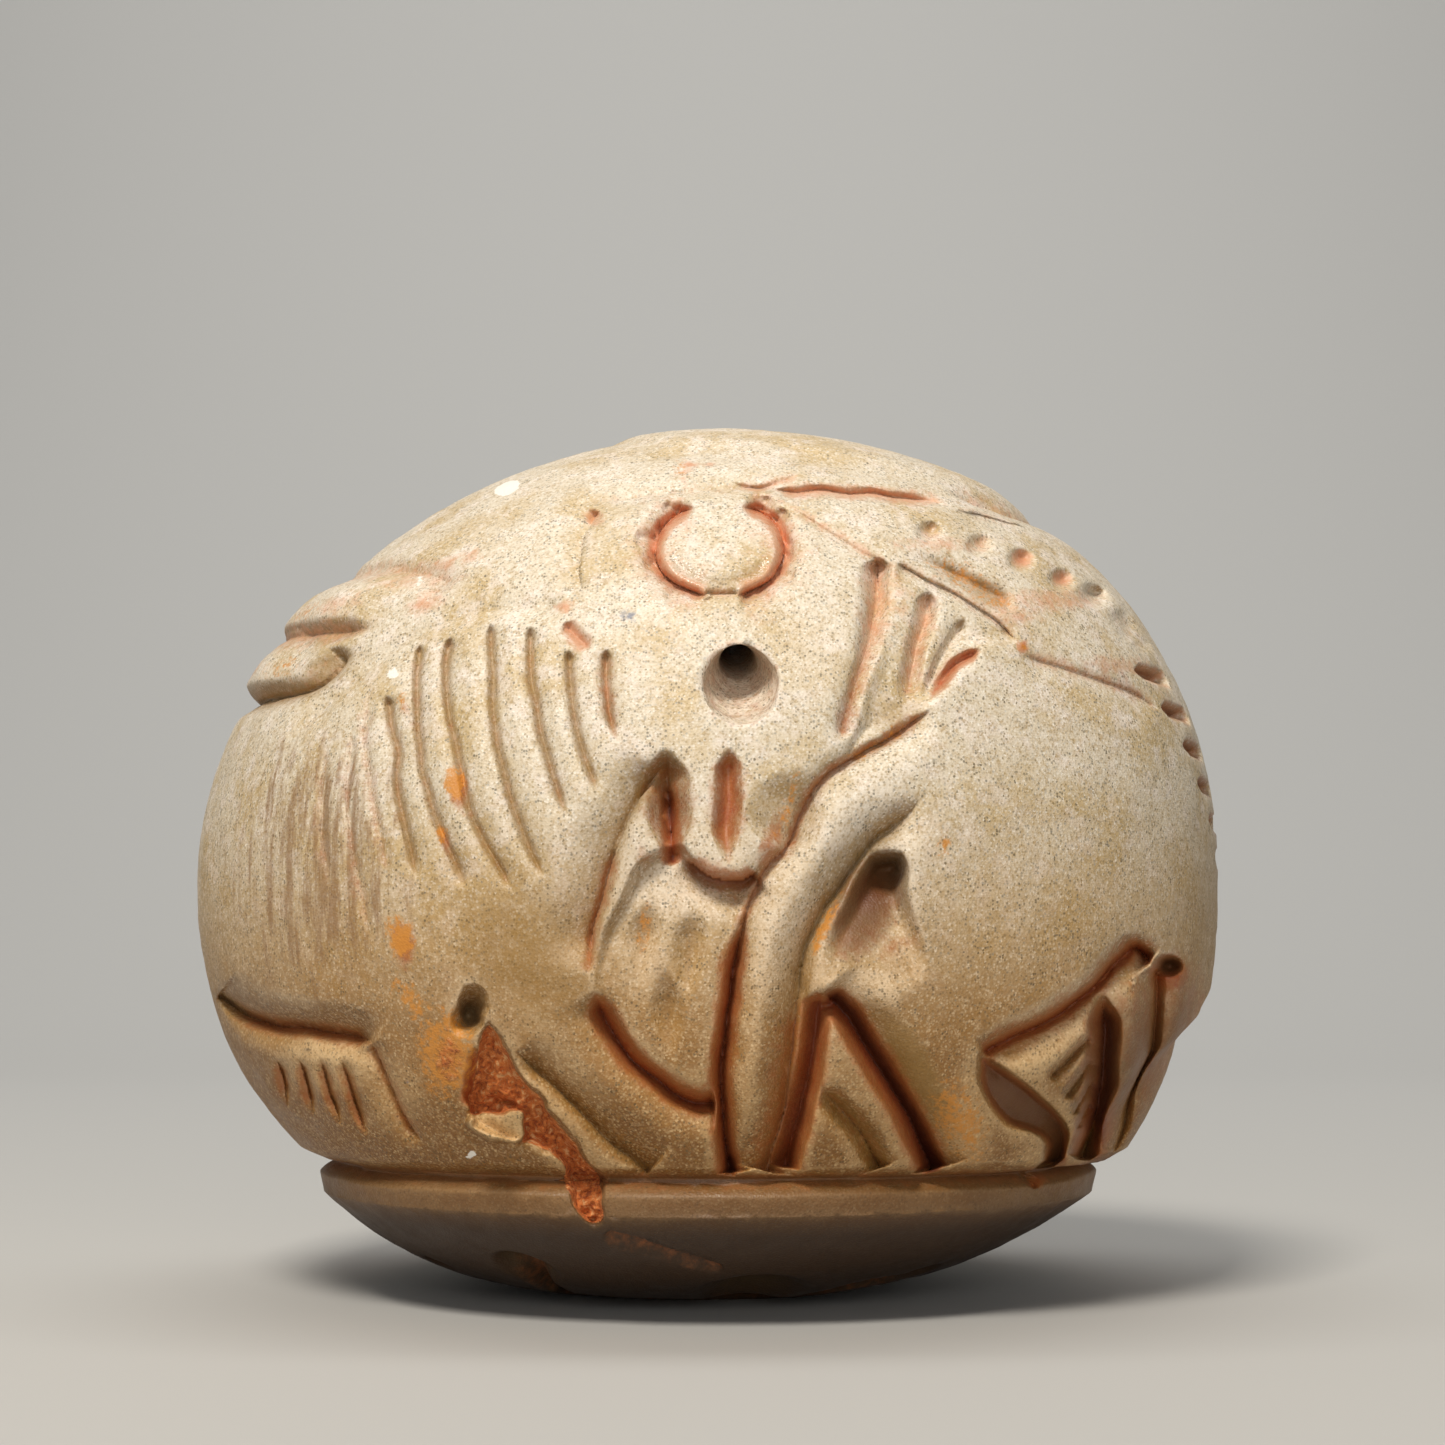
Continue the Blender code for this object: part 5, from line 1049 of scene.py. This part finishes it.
# The olive, umber and dark deep-cut layers are partly dirt and partly painted shade, and the chalk layer
# holds one painted highlight besides chalky chips.
for name, colour, low, high, ragged, fine, strength in (
        ("streak", linear("8A6540"), 0.72, 1.10, 1.5, 1.0, 0.7),
        ("olive", linear("8E6A2E"), 0.10, 0.90, 0.5, 1.7, 0.8),
        ("rust", thin_rust, 0.10, 0.60, 0.8, 2.6, 0.84),
        ("rust", thick_rust, 0.45, 1.05, 1.0, 3.6, 0.88),
        ("umber", linear("5E4A2C"), 0.15, 0.95, 0.3, 2.0, 0.75),
        ("deep_rust_and_shade", linear("5C2410"), 0.25, 1.00, 0.4, 2.5, 0.7),
        ("ochre", linear("CC8630"), 0.26, 0.74, 1.8, 4.5, 0.88),
        ("chalk_and_highlight", linear("F6F1E6"), 0.35, 0.50, 0.6, 3.0, 0.9),
        ("iron", linear("5F6A80"), 0.50, 0.85, 1.0, 4.0, 0.75),
        ("crust", linear("CC7434"), 0.35, 0.60, 0.6, 2.4, 1.0)):
    stain = node("Attribute", out="Fac", attribute_name=name)
    place = upright if name == "streak" else spot
    broken = node("TexNoise", {"Vector": place, "Scale": fine, "Detail": 4.0, "Roughness": 0.7})
    edge = node("Math", {0: broken, 1: ragged, 2: -0.5 * ragged}, operation="MULTIPLY_ADD")
    edge = node("Math", {0: edge, 1: stain}, operation="ADD")
    edge = node("MapRange", {0: edge, 1: low, 2: high, 4: strength}, interpolation_type="SMOOTHSTEP")
    there = node("MapRange", {0: stain, 1: 0.0, 2: 0.12})
    amounts[name] = node("Math", {0: edge, 1: there}, operation="MULTIPLY")
    body = node("Mix", {0: amounts[name], 6: body, 7: colour}, 2, data_type="RGBA")
lumps = node("TexNoise", {"Vector": spot, "Scale": 3.5, "Detail": 4.0, "Roughness": 0.7})
for colour, low, high in (("7A3418", 0.52, 0.64), ("E6B67C", 0.46, 0.36)):
    amount = node("MapRange", {0: lumps, 1: low, 2: high, 4: 0.75})
    amount = node("Math", {0: amount, 1: amounts["crust"]}, operation="MULTIPLY")
    body = node("Mix", {0: amount, 6: body, 7: linear(colour)}, 2, data_type="RGBA")
tree.links.new(body, shader.inputs["Base Color"])

# Rubbed satin in places, wet-looking where the ring was polished, dull where crusted
roughness = node("MapRange", {0: puffs, 1: 0.3, 2: 0.7, 3: 0.44, 4: 0.62})
for value, change in ((polish, -0.36), (amounts["crust"], 0.3)):
    roughness = node("Math", {0: value, 1: change, 2: roughness}, operation="MULTIPLY_ADD")
tree.links.new(roughness, shader.inputs["Roughness"])
shader.inputs["IOR"].default_value = 1.5
relief = None
crusted = node("Math", {0: amounts["crust"], 1: lumps}, operation="MULTIPLY")
for value, strength, distance in ((grain_edge, 0.35, 0.04 * MM), (lumps, 0.25, 0.06 * MM),
                                  (crusted, 0.9, 0.18 * MM)):
    relief = node("Bump", dict({"Height": value, "Strength": strength, "Distance": distance},
                               **({"Normal": relief} if relief else {})))
tree.links.new(relief, shader.inputs["Normal"])

finished.materials.clear()
finished.materials.append(stone)
finished.shade_smooth()
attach(bead, "root")
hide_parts("amulet_stone")


# The floor
# A pale matte paper sweep, flat under the bead and curved up far behind it, so that no edge shows.

SWEEP_WIDTH, SWEEP_FRONT, SWEEP_BACK, SWEEP_RISE, SWEEP_TOP = 4.0, -3.0, 0.25, 0.5, 1.2
paper = bpy.data.materials.new("matte_paper")
paper.use_nodes = True
surface = paper.node_tree.nodes["Principled BSDF"].inputs
surface["Base Color"].default_value = linear("BDBBB6")
surface["Roughness"].default_value = 0.9
SWEEP_STEPS = 24
profile = [(SWEEP_FRONT, 0.0), (0.0, 0.0)]
for step in range(SWEEP_STEPS + 1):
    angle = math.pi / 2 * step / SWEEP_STEPS
    profile.append((SWEEP_BACK + SWEEP_RISE * math.sin(angle), SWEEP_RISE * (1 - math.cos(angle))))
profile.append((SWEEP_BACK + SWEEP_RISE, SWEEP_TOP))
form = bmesh.new()
rows = [[form.verts.new((side * SWEEP_WIDTH / 2, y, z)) for side in (-1, 1)] for y, z in profile]
for low, high in zip(rows, rows[1:]):
    form.faces.new((low[0], low[1], high[1], high[0]))
sweep_mesh = bpy.data.meshes.new("sweep")
form.to_mesh(sweep_mesh)
form.free()
sweep_mesh.materials.append(paper)
sweep_mesh.shade_smooth()
sweep = added("sweep", sweep_mesh)


# Light and camera
# Soft studio light from above, a little towards the viewer, with a weak fill. The camera is at the photo's
# viewing angle, close in front, low and tipped slightly up.

for name, place, size, power, colour in (("top_light", (-0.055, -0.175, 0.225), 0.07, 0.66, "FFF9F0"),
                                         ("front_fill", (0.03, -0.34, 0.06), 0.20, 0.38, "FFFFFF"),
                                         ("sweep_light", (0.0, 0.10, 0.60), 0.50, 4.0, "FFFFFF")):
    lamp = bpy.data.lights.new(name, "AREA")
    lamp.size = size
    lamp.energy = power
    lamp.color = linear(colour)[:3]
    held = added(name, lamp)
    held.location = place
    toward = Vector((0, 0.8, 0.3) if name == "sweep_light" else (0, 0, WAIST))
    held.rotation_euler = (Vector(place) - toward).to_track_quat("Z", "Y").to_euler()
world = bpy.data.worlds.new("studio")
world.use_nodes = True
sky = world.node_tree.nodes["Background"].inputs
sky["Color"].default_value = linear("EEF1F5")
sky["Strength"].default_value = 0.12
bpy.context.scene.world = world

FOCAL_PIXELS, PHOTO_PIXELS, SENSOR = 2500.0, 1445.0, 36.0
camera = added("camera", bpy.data.cameras.new("camera"))
camera.data.sensor_width = SENSOR
camera.data.lens = SENSOR * FOCAL_PIXELS / PHOTO_PIXELS
camera.data.clip_start = 0.005
camera.location = (EYE_SIDE * STEP, -EYE_DISTANCE * STEP, EYE_HEIGHT * STEP_UP)
camera.rotation_euler = Euler((math.pi / 2 + EYE_TILT, 0, 0))
bpy.context.scene.camera = camera
bpy.context.scene.view_settings.view_transform = "Standard"
